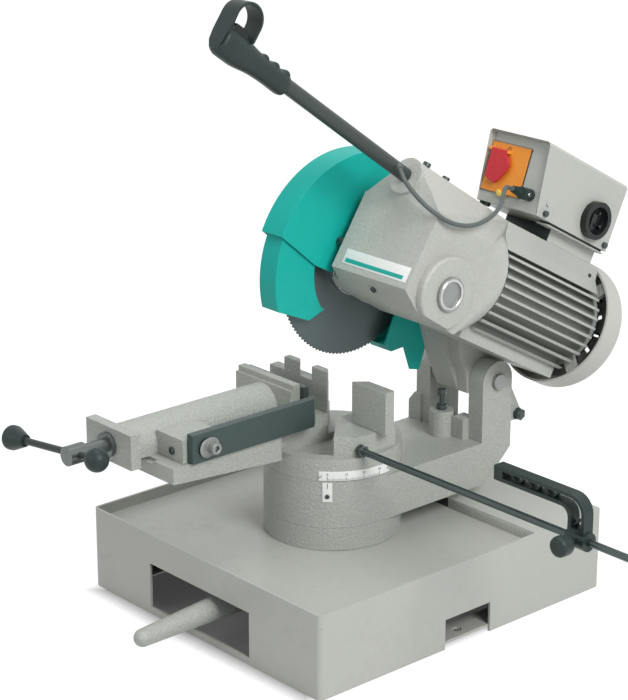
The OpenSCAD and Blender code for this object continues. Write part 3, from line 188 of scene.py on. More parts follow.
def make_brush_group():
    """Fine tool marks that run along one axis."""
    inputs = [("Vector", "NodeSocketVector", None), ("Stretch", "NodeSocketVector", (1, 1, 1)),
              ("Mark Scale", "NodeSocketFloat", 900.0)]
    tree, given, out = group("tool marks", inputs, [("Height", "NodeSocketFloat")])
    mapping = tree.nodes.new("ShaderNodeMapping")
    tree.links.new(given.outputs["Vector"], mapping.inputs["Vector"])
    tree.links.new(given.outputs["Stretch"], mapping.inputs["Scale"])
    marks = noise(tree, mapping.outputs["Vector"], given.outputs["Mark Scale"], 2.0, 0.5)
    tree.links.new(marks, out.inputs["Height"])
    return tree


HAMMER = make_hammer_group()
WEAR = make_wear_group()
BRUSH = make_brush_group()


def start_material(name, roughness, metallic, specular=0.5):
    material = bpy.data.materials.new(name)
    material.use_nodes = True
    tree = material.node_tree
    shader = tree.nodes["Principled BSDF"]
    shader.inputs["Roughness"].default_value = roughness
    shader.inputs["Metallic"].default_value = metallic
    shader.inputs["Specular IOR Level"].default_value = specular
    coords = tree.nodes.new("ShaderNodeTexCoord").outputs["Object"]
    return material, tree, shader, coords


def use_group(tree, kind, **values):
    node = tree.nodes.new("ShaderNodeGroup")
    node.node_tree = kind
    for socket, value in values.items():
        target = node.inputs[socket.replace("_", " ")]
        if isinstance(value, bpy.types.NodeSocket):
            tree.links.new(value, target)
        else:
            target.default_value = value
    return node


def tint(tree, shader, color, masks):
    """Base colour darkened or lightened by masks given as (mask, colour, strength)."""
    current = None
    for mask, other, strength in masks:
        mix = tree.nodes.new("ShaderNodeMix")
        mix.data_type = "RGBA"
        if current is None:
            mix.inputs["A"].default_value = (*color, 1)
        else:
            tree.links.new(current, mix.inputs["A"])
        mix.inputs["B"].default_value = (*other, 1)
        tree.links.new(remap(tree, mask, 0.0, 1.0, 0.0, strength), mix.inputs["Factor"])
        current = mix.outputs["Result"]
    tree.links.new(current, shader.inputs["Base Color"])


def bump(tree, shader, height, depth_mm, strength=1.0):
    node = tree.nodes.new("ShaderNodeBump")
    node.inputs["Strength"].default_value = strength
    node.inputs["Distance"].default_value = depth_mm * 0.001
    tree.links.new(height, node.inputs["Height"])
    tree.links.new(node.outputs["Normal"], shader.inputs["Normal"])


def paint(name, color, blob_scale, depth_mm, speckle, roughness=0.42, specular=0.5, painted_shade=None):
    """Sprayed enamel with hammered relief, speckled tone and rubbed patches."""
    material, tree, shader, coords = start_material(name, roughness, 0.0, specular)
    relief = use_group(tree, HAMMER, Vector=coords, Blob_Scale=blob_scale)
    wear = use_group(tree, WEAR, Vector=coords)
    dark = [c * 0.62 for c in color]
    light = [min(1.0, c * 1.3) for c in color]
    masks = [(relief.outputs["Tone"], dark, speckle), (wear.outputs["Tone"], light, 0.16),
             (wear.outputs["Rub"], dark, 0.10)]
    # Painted shade: where a mask is given, the colour darkens towards a third of itself.
    if painted_shade:
        masks.append((painted_shade(tree, coords), [c * 0.3 for c in color], 0.6))
    tint(tree, shader, color, masks)
    gloss = remap(tree, wear.outputs["Rub"], 0.0, 1.0, roughness, roughness + 0.14)
    tree.links.new(gloss, shader.inputs["Roughness"])
    bump(tree, shader, relief.outputs["Height"], depth_mm)
    return material


def fin_roots(tree, coords):
    """Painted shade between the motor's fins, darkest at their roots, from the distance to its axis."""
    mapping = tree.nodes.new("ShaderNodeMapping")
    mapping.vector_type = "TEXTURE"
    mapping.inputs["Location"].default_value = MOTOR_AXIS
    mapping.inputs["Rotation"].default_value = (-math.radians(MOTOR_TILT), 0, 0)
    tree.links.new(coords, mapping.inputs["Vector"])
    axes = tree.nodes.new("ShaderNodeSeparateXYZ")
    tree.links.new(mapping.outputs["Vector"], axes.inputs[0])
    square = math_node(tree, "ADD", math_node(tree, "POWER", axes.outputs["X"], 2.0),
                       math_node(tree, "POWER", axes.outputs["Z"], 2.0))
    return remap(tree, math_node(tree, "POWER", square, 0.5), FIN_ROOT_R, FIN_TIP_R, 1.0, 0.0)


def plastic(name, color, roughness, grain_scale=1400.0, depth_mm=0.05):
    """Moulded plastic with a fine grain and slight gloss changes."""
    material, tree, shader, coords = start_material(name, roughness, 0.0, 0.3)
    wear = use_group(tree, WEAR, Vector=coords, Patch_Scale=30.0)
    light = [min(1.0, c * 1.25 + 0.01) for c in color]
    tint(tree, shader, color, [(wear.outputs["Tone"], light, 0.35), (wear.outputs["Rub"], light, 0.25)])
    gloss = remap(tree, wear.outputs["Rub"], 0.0, 1.0, roughness, roughness - 0.08)
    tree.links.new(gloss, shader.inputs["Roughness"])
    bump(tree, shader, noise(tree, coords, grain_scale, 2.0, 0.6), depth_mm)
    return material


def metal(name, color, roughness, stretch, metallic=1.0, mark_scale=900.0, depth_mm=0.02):
    """Machined or blackened steel with tool marks along one axis."""
    material, tree, shader, coords = start_material(name, roughness, metallic)
    marks = use_group(tree, BRUSH, Vector=coords, Stretch=stretch, Mark_Scale=mark_scale)
    wear = use_group(tree, WEAR, Vector=coords, Patch_Scale=22.0)
    dark = [c * 0.7 for c in color]
    light = [min(1.0, c * 1.35) for c in color]
    tint(tree, shader, color, [(marks.outputs["Height"], dark, 0.45), (wear.outputs["Tone"], light, 0.3),
                               (wear.outputs["Rub"], dark, 0.25)])
    tree.links.new(remap(tree, marks.outputs["Height"], 0.2, 0.8, roughness - 0.06, roughness + 0.1),
                   shader.inputs["Roughness"])
    bump(tree, shader, marks.outputs["Height"], depth_mm)
    return material


def turned(name, color, roughness, metallic, centre, ring_scale, depth_mm):
    """Disc face with fine turned rings about an axis along X through centre."""
    material, tree, shader, coords = start_material(name, roughness, metallic)
    mapping = tree.nodes.new("ShaderNodeMapping")
    mapping.vector_type = "POINT"
    mapping.inputs["Location"].default_value = [-c for c in centre]
    tree.links.new(coords, mapping.inputs["Vector"])
    rings = tree.nodes.new("ShaderNodeTexWave")
    rings.wave_type = "RINGS"
    rings.rings_direction = "X"
    rings.inputs["Scale"].default_value = ring_scale
    rings.inputs["Distortion"].default_value = 1.2
    rings.inputs["Detail"].default_value = 2.0
    tree.links.new(mapping.outputs["Vector"], rings.inputs["Vector"])
    wear = use_group(tree, WEAR, Vector=coords, Patch_Scale=18.0)
    dark = [c * 0.72 for c in color]
    light = [min(1.0, c * 1.3) for c in color]
    tint(tree, shader, color, [(rings.outputs["Fac"], dark, 0.35), (wear.outputs["Tone"], light, 0.3)])
    gloss = remap(tree, rings.outputs["Fac"], 0.0, 1.0, roughness, roughness + 0.1)
    tree.links.new(gloss, shader.inputs["Roughness"])
    bump(tree, shader, rings.outputs["Fac"], depth_mm)
    return material


ARBOR_AT = ARBOR @ Vector((0, 0, 0))
CAST_PAINT = paint("hammered cast paint", (0.43, 0.45, 0.415), 430.0, 0.65, 0.55)
# Motor paint with painted shade darkening the gaps between its fins.
MOTOR_PAINT = paint("motor paint", (0.45, 0.465, 0.43), 480.0, 0.3, 0.35, painted_shade=fin_roots)
HOUSING_PAINT = paint("housing paint", (0.465, 0.475, 0.44), 380.0, 0.4, 0.3)
SHEET_PAINT = paint("sheet paint", (0.465, 0.475, 0.44), 520.0, 0.14, 0.16, 0.38)
SMOOTH_PAINT = paint("fan cover paint", (0.50, 0.50, 0.465), 620.0, 0.08, 0.10, 0.36)
TEAL_PAINT = paint("teal guard paint", (0.008, 0.40, 0.345), 700.0, 0.04, 0.10, 0.4, 0.2)
BLACK_PLASTIC = plastic("black moulded plastic", (0.017, 0.031, 0.028), 0.42)
GLOSS_BLACK = plastic("glossy black plastic", (0.012, 0.015, 0.015), 0.2, 900.0, 0.02)
ORANGE_PLASTIC = plastic("orange plate", (0.83, 0.29, 0.035), 0.3, 900.0, 0.02)
RED_PLASTIC = plastic("red flap", (0.55, 0.025, 0.035), 0.28, 900.0, 0.02)
GREEN_PLASTIC = plastic("green button", (0.03, 0.24, 0.08), 0.3, 900.0, 0.02)
WHITE_PLATE = plastic("white plate", (0.78, 0.79, 0.77), 0.35, 900.0, 0.01)
YELLOW_PLASTIC = plastic("yellow latch", (0.88, 0.62, 0.10), 0.3, 900.0, 0.02)
TEAL_BAND = plastic("teal band", (0.012, 0.36, 0.31), 0.35, 900.0, 0.01)
MARK_INK = plastic("mark ink", (0.02, 0.02, 0.022), 0.5, 900.0, 0.01)
CABLE_RUBBER = plastic("cable sheath", (0.095, 0.115, 0.112), 0.5, 1200.0, 0.04)
BRIGHT_STEEL = metal("bright steel", (0.56, 0.57, 0.57), 0.26, (1, 1, 0.06))
GREY_STEEL = metal("grey steel", (0.30, 0.315, 0.305), 0.42, (1, 1, 0.06), 0.7)
OILED_STEEL = metal("oiled steel", (0.15, 0.17, 0.165), 0.3, (1, 0.06, 1), 0.8)
BLACK_STEEL = metal("blackened steel", (0.062, 0.085, 0.083), 0.38, (1, 0.05, 1), 0.55)
BAR_STEEL = metal("clamp bar steel", (0.058, 0.088, 0.084), 0.42, (1, 0.04, 1), 0.45)
ROD_STEEL = metal("rod steel", (0.075, 0.1, 0.098), 0.24, (0.03, 1, 1), 0.75)
TUBE_STEEL = metal("lever tube enamel", (0.045, 0.058, 0.054), 0.36, (1, 0.06, 1), 0.25)
BRONZE = metal("bronze", (0.52, 0.33, 0.14), 0.38, (1, 1, 0.1))
LAMINATIONS = metal("laminations", (0.26, 0.22, 0.19), 0.5, (0.05, 1, 0.05), 0.6)
BLADE_STEEL = turned("blade steel", (0.10, 0.13, 0.132), 0.42, 0.55, ARBOR_AT, 260.0, 0.03)


# Shapes
def piece(name, mesh_build, material, body, smooth=40):
    """A mesh object at the origin, from a bmesh in metres, that rides on a body."""
    mesh = bpy.data.meshes.new(name)
    mesh_build.to_mesh(mesh)
    mesh_build.free()
    mesh.materials.append(material)
    mesh.shade_smooth()
    mesh.set_sharp_from_angle(angle=math.radians(smooth))
    made = bpy.data.objects.new(name, mesh)
    bpy.context.scene.collection.objects.link(made)
    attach(made, body)
    return made


def on_head(name, mesh_build, material, smooth=40):
    return piece(name, mesh_build, material, "head", smooth)


def even_normals(made):
    """Keeps broad faces flat next to eased edges."""
    weighted = made.modifiers.new("even normals", "WEIGHTED_NORMAL")
    weighted.keep_sharp = True


def sharp_edges(build, degrees):
    return [e for e in build.edges if e.is_manifold and e.calc_face_angle(0.0) > math.radians(degrees)]


def ease(build, edges, offset, segments=2, slide=False):
    """Rounds edges off."""
    bmesh.ops.bevel(build, geom=edges, offset=offset, offset_type="OFFSET", segments=segments, profile=0.5,
                    affect="EDGES", material=-1, clamp_overlap=True, loop_slide=slide)


def extruded(build, faces, offset):
    """Faces grown into a solid along an offset."""
    grown = bmesh.ops.extrude_face_region(build, geom=faces)["geom"]
    bmesh.ops.translate(build, verts=[v for v in grown if isinstance(v, bmesh.types.BMVert)], vec=offset)


def dress(node, material, edge_mm, segments=2, turn=35):
    """A copy of a solid with its edges eased, which stands for the solid."""
    body = solids[node]["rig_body"]
    build = bmesh.new()
    build.from_mesh(solids[node].data)
    bmesh.ops.remove_doubles(build, verts=build.verts, dist=1e-6)
    bmesh.ops.dissolve_limit(build, angle_limit=math.radians(1.0), verts=build.verts, edges=build.edges)
    if edge_mm:
        ease(build, sharp_edges(build, turn), edge_mm * 0.001, segments, slide=True)
    made = piece(node + "_dressed", build, material, body)
    even_normals(made)
    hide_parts(node)
    return made


def placed(build, place):
    bmesh.ops.remove_doubles(build, verts=build.verts, dist=1e-4)
    bmesh.ops.recalc_face_normals(build, faces=build.faces)
    bmesh.ops.transform(build, matrix=place, verts=build.verts)
    return build


def lathe(profile, place, steps=32):
    """A turned shape about its own Z axis, from radius and height pairs."""
    build = bmesh.new()
    points = [build.verts.new((radius, 0, height)) for radius, height in profile]
    lines = [build.edges.new(pair) for pair in zip(points, points[1:])]
    bmesh.ops.spin(build, geom=points + lines, cent=(0, 0, 0), axis=(0, 0, 1), angle=math.tau, steps=steps,
                   use_merge=True)
    return placed(build, place)


def prism(outline, low, high, place, edge=0.0, segments=2):
    """A plate of the outline in its own XY plane, with eased edges."""
    build = bmesh.new()
    face = build.faces.new([build.verts.new((x, y, low)) for x, y in outline])
    extruded(build, [face], (0, 0, high - low))
    if edge:
        ease(build, list(build.edges), edge, segments)
    return placed(build, place)


def oblong(x0, x1, y0, y1):
    return [(x0, y0), (x1, y0), (x1, y1), (x0, y1)]


def joined(builds):
    """One bmesh from several."""
    whole = bmesh.new()
    for build in builds:
        mesh = bpy.data.meshes.new("joined")
        build.to_mesh(mesh)
        build.free()
        whole.from_mesh(mesh)
        bpy.data.meshes.remove(mesh)
    return whole


def band(outline, width, low, high, place, edge):
    """A frame along the inside of an outline, with eased edges."""
    build = bmesh.new()
    face = build.faces.new([build.verts.new((x, y, low)) for x, y in outline])
    bmesh.ops.inset_region(build, faces=[face], thickness=width, use_boundary=True, use_even_offset=True)
    bmesh.ops.delete(build, geom=[face], context="FACES_ONLY")
    extruded(build, list(build.faces), (0, 0, high - low))
    ease(build, sharp_edges(build, 60), edge)
    return placed(build, place)


def carved(build, cutter):
    """One bmesh less another."""
    shapes = []
    for source in (build, cutter):
        mesh = bpy.data.meshes.new("carving")
        source.to_mesh(mesh)
        source.free()
        shapes.append(bpy.data.objects.new("carving", mesh))
        bpy.context.scene.collection.objects.link(shapes[-1])
    cut = shapes[0].modifiers.new("cut", "BOOLEAN")
    cut.operation = "DIFFERENCE"
    cut.solver = "EXACT"
    cut.object = shapes[1]
    result = bmesh.new()
    result.from_mesh(shapes[0].evaluated_get(bpy.context.evaluated_depsgraph_get()).to_mesh())
    for shape in shapes:
        bpy.data.meshes.remove(shape.data)
    return result


# Control cable
CABLE_ROUTE = ((97, -121, 377), (104, -122, 372), (112, -121, 366), (124, -115, 358), (136, -105, 351),
               (146, -92, 347), (152, -76, 346), (154.5, -58, 350), (154, -40, 358), (152, -26, 368),
               (149, -15, 378), (144, -5, 389), (138, 2, 399), (131, 8, 408), (125, 13, 415), (119, 20, 421),
               (114, 29, 424), (112, 39, 426))
CABLE_D = 0.005


def make_cable():
    curve = bpy.data.curves.new("control_cable_sheath", "CURVE")
    curve.dimensions = "3D"
    curve.bevel_depth = CABLE_D / 2
    curve.bevel_resolution = 5
    curve.resolution_u = 8
    curve.use_fill_caps = True
    line = curve.splines.new("BEZIER")
    line.bezier_points.add(len(CABLE_ROUTE) - 1)
    for knot, place in zip(line.bezier_points, CABLE_ROUTE):
        knot.co = HEAD @ Vector(place)
        knot.handle_left_type = knot.handle_right_type = "AUTO"
    made = bpy.data.objects.new("control_cable_sheath", curve)
    bpy.context.scene.collection.objects.link(made)
    curve.materials.append(CABLE_RUBBER)
    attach(made, "head")
    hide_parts("control_cable")


make_cable()

# Finish and eased edge of every solid that shows
DRESSING = {
    CAST_PAINT: {"turret_drum": 1.0, "vise_table": 1.2, "fixed_jaw_left": 1.2, "fixed_jaw_right": 1.2,
                 "lock_lever": 0, "swivel_arm": 1.5, "rear_shield": 0.8, "vise_carriage": 1.5},
    MOTOR_PAINT: {"motor_frame": 0.8},
    HOUSING_PAINT: {"gear_housing": 2.0},
    SHEET_PAINT: {"base_tray": 1.2, "terminal_riser": 0.8},
    SMOOTH_PAINT: {"fan_cover": 0.6},
    TEAL_PAINT: {"upper_guard": 0.5, "rear_guard": 0.5, "moving_guard": 0.5},
    BRIGHT_STEEL: {"centre_post": 0.8, "return_spring": 0, "arbor_bearings": 0.5, "motor_bearings": 0.5,
                   "arbor_shaft": 0.8, "blade_flange": 0.8, "motor_shaft": 0, "rotor_core": 0.5},
    GREY_STEEL: {"pivot_pin": 1.0, "oil_plug": 0.6, "clamp_screw": 0.6},
    OILED_STEEL: {"vise_spindle": 0.8},
    BLACK_STEEL: {"jaw_bolts": 0.6, "depth_stop_screw": 0.6, "depth_stop_nut": 0.6, "rear_stop_bolt": 0.6,
                  "head_screws": 0.5, "blade_bolt": 0.6, "moving_jaw_plate": 0.8},
    BAR_STEEL: {"clamp_bar": 0.7},
    ROD_STEEL: {"stop_rod": 0.6},
    TUBE_STEEL: {"feed_lever": 0.4},
    BLADE_STEEL: {"saw_blade": 0},
    BLACK_PLASTIC: {"cable_plug": 0,
                    "stop_arm": 0.6, "tommy_bar": 0.8, "cooling_fan": 0.4},
    GLOSS_BLACK: {"mains_inlet": 1.5, "trigger": 0.8},
    WHITE_PLATE: {"scale_plate": 0.2, "pointer_plate": 0.2},
    BRONZE: {"spindle_nut": 0.8, "worm_wheel": 0},
    LAMINATIONS: {"stator": 0.5},
    ORANGE_PLASTIC: {"switch_plate": 0.5},
    RED_PLASTIC: {"stop_flap": 0.8},
    GREEN_PLASTIC: {"start_button": 0.5},
    CABLE_RUBBER: {"cable_grommet": 0.4},
}
for finish, edges in DRESSING.items():
    for node, edge in edges.items():
        dress(node, finish, edge)


# Switch box with a rounded hood over its sloping panel
def make_switch_box():
    hood = 21
    back_slant = 4
    build = bmesh.new()
    outline = [(BOX_Y0 - hood, BOX_Z1), (BOX_Y1 - back_slant, BOX_Z1), (BOX_Y1, BOX_Z0), (BOX_Y0, BOX_Z0)]
    side = build.faces.new([build.verts.new((BOX_X0, y, z)) for y, z in outline])
    extruded(build, [side], (BOX_X1 - BOX_X0, 0, 0))
    bmesh.ops.recalc_face_normals(build, faces=build.faces)
    near = 0.01
    ridges = [e for e in build.edges if all(abs(v.co.z - BOX_Z1) < near for v in e.verts)
              and abs(e.verts[0].co.x - e.verts[1].co.x) < near]
    ease(build, ridges, 5, 6)
    build.normal_update()
    front = min(build.faces, key=lambda f: f.normal.y)
    bmesh.ops.inset_region(build, faces=[front], thickness=BOX_SHEET, use_even_offset=True)
    for corner in front.verts:
        corner.co.y = BOX_Y0 - PANEL_LEAN * (corner.co.z - BOX_Z0 - BOX_SHEET) / PANEL_RISE
    ease(build, sharp_edges(build, 35), 0.5)
    made = piece("switch_box_dressed", placed(build, MOTOR), SHEET_PAINT, "head")
    even_normals(made)
    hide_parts("switch_box")


make_switch_box()


# Bearing cover, turned with a rounded rim and cut flat below
def make_bearing_cover():
    back, front, radius, low, ease = 145, 155, 40.5, 34, 3
    rim = [(radius - ease + ease * math.sin(a), front - ease + ease * math.cos(a))
           for a in [math.radians(15 * i) for i in range(7)]]
    profile = [(26, back - 25), (26, back - 11), (17, back - 11), (17, front)] + rim
    profile += [(radius, back), (30.9, back), (30.9, back - 25), (26, back - 25)]
    build = lathe(profile, TO_RIGHT, 96)
    whole = build.verts[:] + build.edges[:] + build.faces[:]
    cut = bmesh.ops.bisect_plane(build, geom=whole, plane_co=(0, 0, -low), plane_no=(0, 0, -1),
                                 clear_outer=True)["geom_cut"]
    bmesh.ops.holes_fill(build, edges=[e for e in cut if isinstance(e, bmesh.types.BMEdge)], sides=0)
    made = on_head("bearing_cover_turned", placed(build, ARBOR), HOUSING_PAINT)
    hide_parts("bearing_cover")


make_bearing_cover()


# Grip with finger ridges, and its strap
GRIP_Y0, GRIP_Y1 = -318, -212
STRAP_HALF = 11.5
# Place along the lever, half width, top and bottom of the grip's body
GRIP_STATIONS = ((-315, 10.5, 11.5, -14.5), (-313, 11.9, 13.4, -17.0), (-309, 12.5, 14.3, -18.3),
                 (-300, 12.5, 14.5, -18.5), (-288, 12.4, 14.4, -18.4), (-278, 11.8, 13.6, -17.2),
                 (-268, 11.0, 12.0, -15.4), (-258, 10.6, 10.9, -14.2), (-246, 10.3, 10.5, -13.6),
                 (-234, 10.1, 10.3, -13.4), (-224, 10.2, 10.3, -13.6), (-216, 10.2, 10.1, -13.6),
                 (-213, 9.6, 9.3, -12.8), (-212, 8.6, 8.4, -11.2))


def make_grip():
    around = 40
    build = bmesh.new()
    rings = []
    for y, half, top, bottom in GRIP_STATIONS:
        middle, rise = (top + bottom) / 2, (top - bottom) / 2
        ring = []
        for i in range(around):
            turn = math.tau * i / around
            across, up = math.cos(turn), math.sin(turn)
            ring.append(build.verts.new((half * math.copysign(abs(across) ** 0.85, across), y,
                                         middle + rise * math.copysign(abs(up) ** 0.85, up))))
        rings.append(ring)
    for near, far in zip(rings, rings[1:]):
        for i in range(around):
            build.faces.new((near[i], near[(i + 1) % around], far[(i + 1) % around], far[i]))
    build.faces.new(rings[0][::-1])
    build.faces.new(rings[-1])
    ridge = [(0, -7.6), (4.2, -7.6), (5.9, -6.2), (6.5, -4.2), (6.5, 4.2), (5.9, 6.2), (4.2, 7.6), (0, 7.6)]
    ridge_pitch = 17
    ridges = [lathe(ridge, LEVER @ Matrix.Translation((0, GRIP_Y1 - 8 - ridge_pitch * i, 6)) @ TO_LEFT, 28)
              for i in range(3)]
    pocket = prism(oblong(-7, 7, GRIP_Y0 + 8, GRIP_Y0 + 32), 5, 30, Matrix.Identity(4))
    body = carved(placed(build, Matrix.Identity(4)), pocket)
    bmesh.ops.transform(body, matrix=LEVER, verts=body.verts)
    made = piece("grip_moulding", joined([body] + ridges), BLACK_PLASTIC, "head", 60)
    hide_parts("grip")


def make_strap():
    half, strap, top, foot, tail = 19, 3, 46, 11, -14
    middle, bend = GRIP_Y0 + half, top - half
    arc = [math.pi * (1 - i / 16) for i in range(17)]
    outside = [(GRIP_Y0 + 1.5, tail), (GRIP_Y0, tail + 8), (GRIP_Y0, 6)]
    outside += [(middle + half * math.cos(a), bend + half * math.sin(a)) for a in arc]
    outside += [(middle + half, foot)]
    hollow = half - strap
    inside = [(middle + hollow, foot)]
    inside += [(middle + hollow * math.cos(a), bend + hollow * math.sin(a)) for a in arc[::-1]]
    inside += [(GRIP_Y0 + strap + 1.5, 6), (GRIP_Y0 + strap + 1.5, tail)]
    build = prism(outside + inside, -STRAP_HALF, STRAP_HALF, TO_RIGHT, 0.7)
    for corner in build.verts:
        below = max(0.0, 4 - corner.co.z) / 18
        corner.co.x *= 1 - 0.5 * below ** 2
    bmesh.ops.transform(build, matrix=LEVER, verts=build.verts)
    made = piece("grip_strap", build, BLACK_PLASTIC, "head")
    even_normals(made)
    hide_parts("grip_loop")


make_grip()
make_strap()


# Small pieces on the head
def on(place, x, y, z, turn=Matrix.Identity(4)):
    return place @ Matrix.Translation((x, y, z)) @ turn


def screw(radius, height, socket):
    """Profile of a round head with a socket."""
    return [(0, height - socket), (radius * 0.5, height - socket), (radius * 0.5, height),
            (radius * 0.85, height), (radius, height * 0.75), (radius, 0)]


FRONT_FACE = on(HEAD, 0, -87, 0, TO_FRONT)
on_head("label_plate", prism(oblong(41, 141, 267.5, 284.5), 0.0, 0.5, FRONT_FACE, 0.2), WHITE_PLATE)
on_head("label_band", prism(oblong(45, 135, 269.5, 274), 0.48, 0.6, FRONT_FACE), TEAL_BAND)
on_head("housing_edge_bolt", lathe(screw(4.5, 10, 2), on(HEAD, 29, -82.5, 291, TO_LEFT)), BLACK_STEEL)
plug_face = on(ARBOR, 159, 0, 0, TO_RIGHT)
PLUG_RIM = [(14.2, -2), (14.2, 0.1), (15.2, 0.9), (16.6, 0.9), (17.4, 0.1), (17.4, -0.4)]
on_head("plug_rim", lathe(PLUG_RIM, plug_face, 48), BRIGHT_STEEL)
# A thin black sheet on the riser's front: painted shade under the front of the switch box.
on_head("riser_front_shade", prism(oblong(54, 123.5, 400.9, 418.6), 0.0, 0.8, on(MOTOR, 0, 126.09, 0, TO_FRONT), 0.3),
        BLACK_PLASTIC)

# Switch plate: rim, key ring, latch
panel_face = PANEL @ TO_FRONT
on_head("switch_rim", band(oblong(47.2, 107.2, 10.2, 67.8), 2.0, 0.0, 1.2, panel_face, 0.3), BLACK_PLASTIC)
SWITCH_RING = [(1.7, 2.0), (1.7, 2.4), (2.2, 2.4), (2.2, 2.0)]
on_head("switch_ring", lathe(SWITCH_RING, on(panel_face, 75, 62, 0), 24), MARK_INK)
latch = [(74, 10.5), (76, 8), (86, 7), (89, 9), (88, 11.5), (80, 13), (76, 15), (74, 14)]
on_head("switch_latch", prism(latch, 2.0, 4.2, panel_face, 0.5), YELLOW_PLASTIC)

# Inlet insert, foot flange, feet and screws of the switch box
inlet = on(MOTOR, BOX_X1, 171.1, 445.1, TO_RIGHT)


def stadium(half_width, half_height, steps=8):
    turn = [math.pi * i / steps for i in range(steps + 1)]
    top = [(half_width * math.cos(a), half_height - half_width + half_width * math.sin(a)) for a in turn]
    return top + [(-x, -y) for x, y in top]


on_head("inlet_insert", band(stadium(9.5, 14.5), 2.2, 2.0, 6.5, inlet, 0.5), GLOSS_BLACK)
flange_side = on(MOTOR, 0, 0, 0, TO_RIGHT)
flange = oblong(BOX_Y0 + 26, BOX_Y1 - 2, BOX_Z0 - 4.2, BOX_Z0 - 2.6)
gasket = oblong(BOX_Y0 + 30, BOX_Y1 - 4, BOX_Z0 - 2.7, BOX_Z0 + 0.1)
on_head("box_flange", prism(flange, 118, 136.5, flange_side, 0.4), SHEET_PAINT)
on_head("box_gasket", prism(gasket, 120, 134.5, flange_side, 0.3), BLACK_PLASTIC)
FOOT = [(0, 0), (3.2, 0), (3.6, -1.0), (3.6, -3.4), (2.6, -4.4), (0, -4.4)]
on_head("box_feet", joined([lathe(FOOT, on(MOTOR, x, BOX_Y0 + 6, BOX_Z0 + 0.2), 24) for x in (50, 58)]),
        BLACK_PLASTIC)
on_head("box_screws", joined([lathe(screw(2.6, 2.4, 1.2), on(MOTOR, BOX_X1, y, z, TO_RIGHT), 24)
                              for y, z in ((88, 436), (207, 424))]), BRIGHT_STEEL)
on_head("plug_screw", lathe(screw(2.2, 1.2, 0.6), on(MOTOR, 127.3, 66, 437.5, TO_RIGHT), 24), BRIGHT_STEEL)
on_head("deck_screw", lathe(screw(2.4, 1.8, 1.0), on(MOTOR, 127.0, 214, 388, TO_RIGHT), 24), BLACK_STEEL)


# Scale, its numbers and screws, and the pointer's mark
def on_scale(degrees, z):
    turn = Matrix.Rotation(math.radians(ZERO_MARK + degrees), 4, "Z")
    return MM @ turn @ Matrix.Translation((SCALE_R, 0, z)) @ TO_RIGHT


def numeral(text, size, place):
    """Flat figures as a mesh."""
    curve = bpy.data.curves.new("numeral", "FONT")
    curve.body = text
    curve.size = size
    curve.extrude = 0.05
    curve.align_x = "CENTER"
    shown = bpy.data.objects.new("numeral", curve)
    bpy.context.scene.collection.objects.link(shown)
    bpy.context.view_layer.update()
    build = bmesh.new()
    build.from_mesh(shown.to_mesh())
    shown.to_mesh_clear()
    bpy.data.objects.remove(shown)
    bpy.data.curves.remove(curve)
    return placed(build, place)


def tick(degrees):
    height = 4.2 if degrees % 15 == 0 else 3.2 if degrees % 5 == 0 else 2.0
    half = 0.3 if degrees % 15 == 0 else 0.17
    return prism(oblong(-half, half, 0, height), -0.05, 0.08, on_scale(degrees, 170.6))


marks = [tick(degrees) for degrees in range(46)]
marks += [numeral(str(degrees), 4.2, on_scale(degrees, 176.2)) for degrees in (0, 15, 30, 45)]
piece("scale_marks", joined(marks), MARK_INK, "base")
SCALE_SCREW = screw(2.1, 0.7, 0.4)
piece("scale_screws", joined([lathe(SCALE_SCREW, on_scale(degrees, 175.6), 24) for degrees in (-5.6, 54.8)]),
      BRIGHT_STEEL, "base")
piece("pointer_mark", prism(oblong(-0.35, 0.35, 160.5, 167.3), -0.05, 0.08, on_scale(0, 0)), MARK_INK,
      "swivel")
piece("pointer_screw", lathe(screw(2.6, 1.6, 0.9), on_scale(0, 151.5), 24), BLACK_STEEL, "swivel")

# Strainer at the foot of the tray's back shelf, with a black patch at its left end that is painted shadow
# under the arm: place along X, then heights
STRAINER_Y = 133
SHELF_SHADOW_PATCH = (28, 56, 86, 97)
STRAINER_SHEET = (56, 190, 86, 97)


def make_strainer():
    face = on(MM, 0, STRAINER_Y, 0, TO_FRONT)
    # Black patch: painted shadow of the arm on the shelf's step.
    piece("shelf_shadow_patch", prism(oblong(*SHELF_SHADOW_PATCH), -0.3, 0.25, face, 0.1), MARK_INK, "base")
    x0, x1, z0, z1 = STRAINER_SHEET
    piece("strainer_sheet", prism(oblong(x0, x1, z0, z1), -0.3, 0.35, face, 0.12), SHEET_PAINT, "base")
    # Black discs stand for the holes: painted shade inside them.
    hole = [(0.55, 0.3), (0.55, 0.45), (0, 0.45)]
    holes = [lathe(hole, on(face, x0 + 3 + 4 * i + 2 * (j % 2), z0 + 2 + 2.6 * j, 0), 10)
             for i in range(int((x1 - x0 - 6) / 4)) for j in range(int((z1 - z0 - 2) / 2.6))]
    piece("strainer_holes", joined(holes), MARK_INK, "base")


make_strainer()

# Clamp knob of the length stop, with a crowned face and grooves round its rim
def make_stop_knob():
    place = on(MM, 399, -24, 203.1, TO_FRONT)
    radius, low, high = 11.2, 18, 34
    face = [(0, high - 0.6), (4.5, high - 0.6), (5.0, high), (radius - 2.6, high), (radius - 1.0, high - 0.8),
            (radius - 0.2, high - 2.2), (radius, high - 4), (radius, low + 3), (radius - 1.0, low + 1),
            (radius - 3, low)]
    build = lathe(face + [(3, low), (3, 4.3), (0, 4.3)], Matrix.Identity(4), 72)
    for corner in build.verts:
        reach = math.hypot(corner.co.x, corner.co.y)
        if reach > radius - 0.5:
            turn = math.atan2(corner.co.y, corner.co.x)
            shrink = 1 - 0.04 * (0.5 + 0.5 * math.cos(18 * turn))
            corner.co.x *= shrink
            corner.co.y *= shrink
    made = piece("stop_knob_grooved", placed(build, place), BLACK_PLASTIC, "stop_clamp")
    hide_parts("stop_knob")


make_stop_knob()

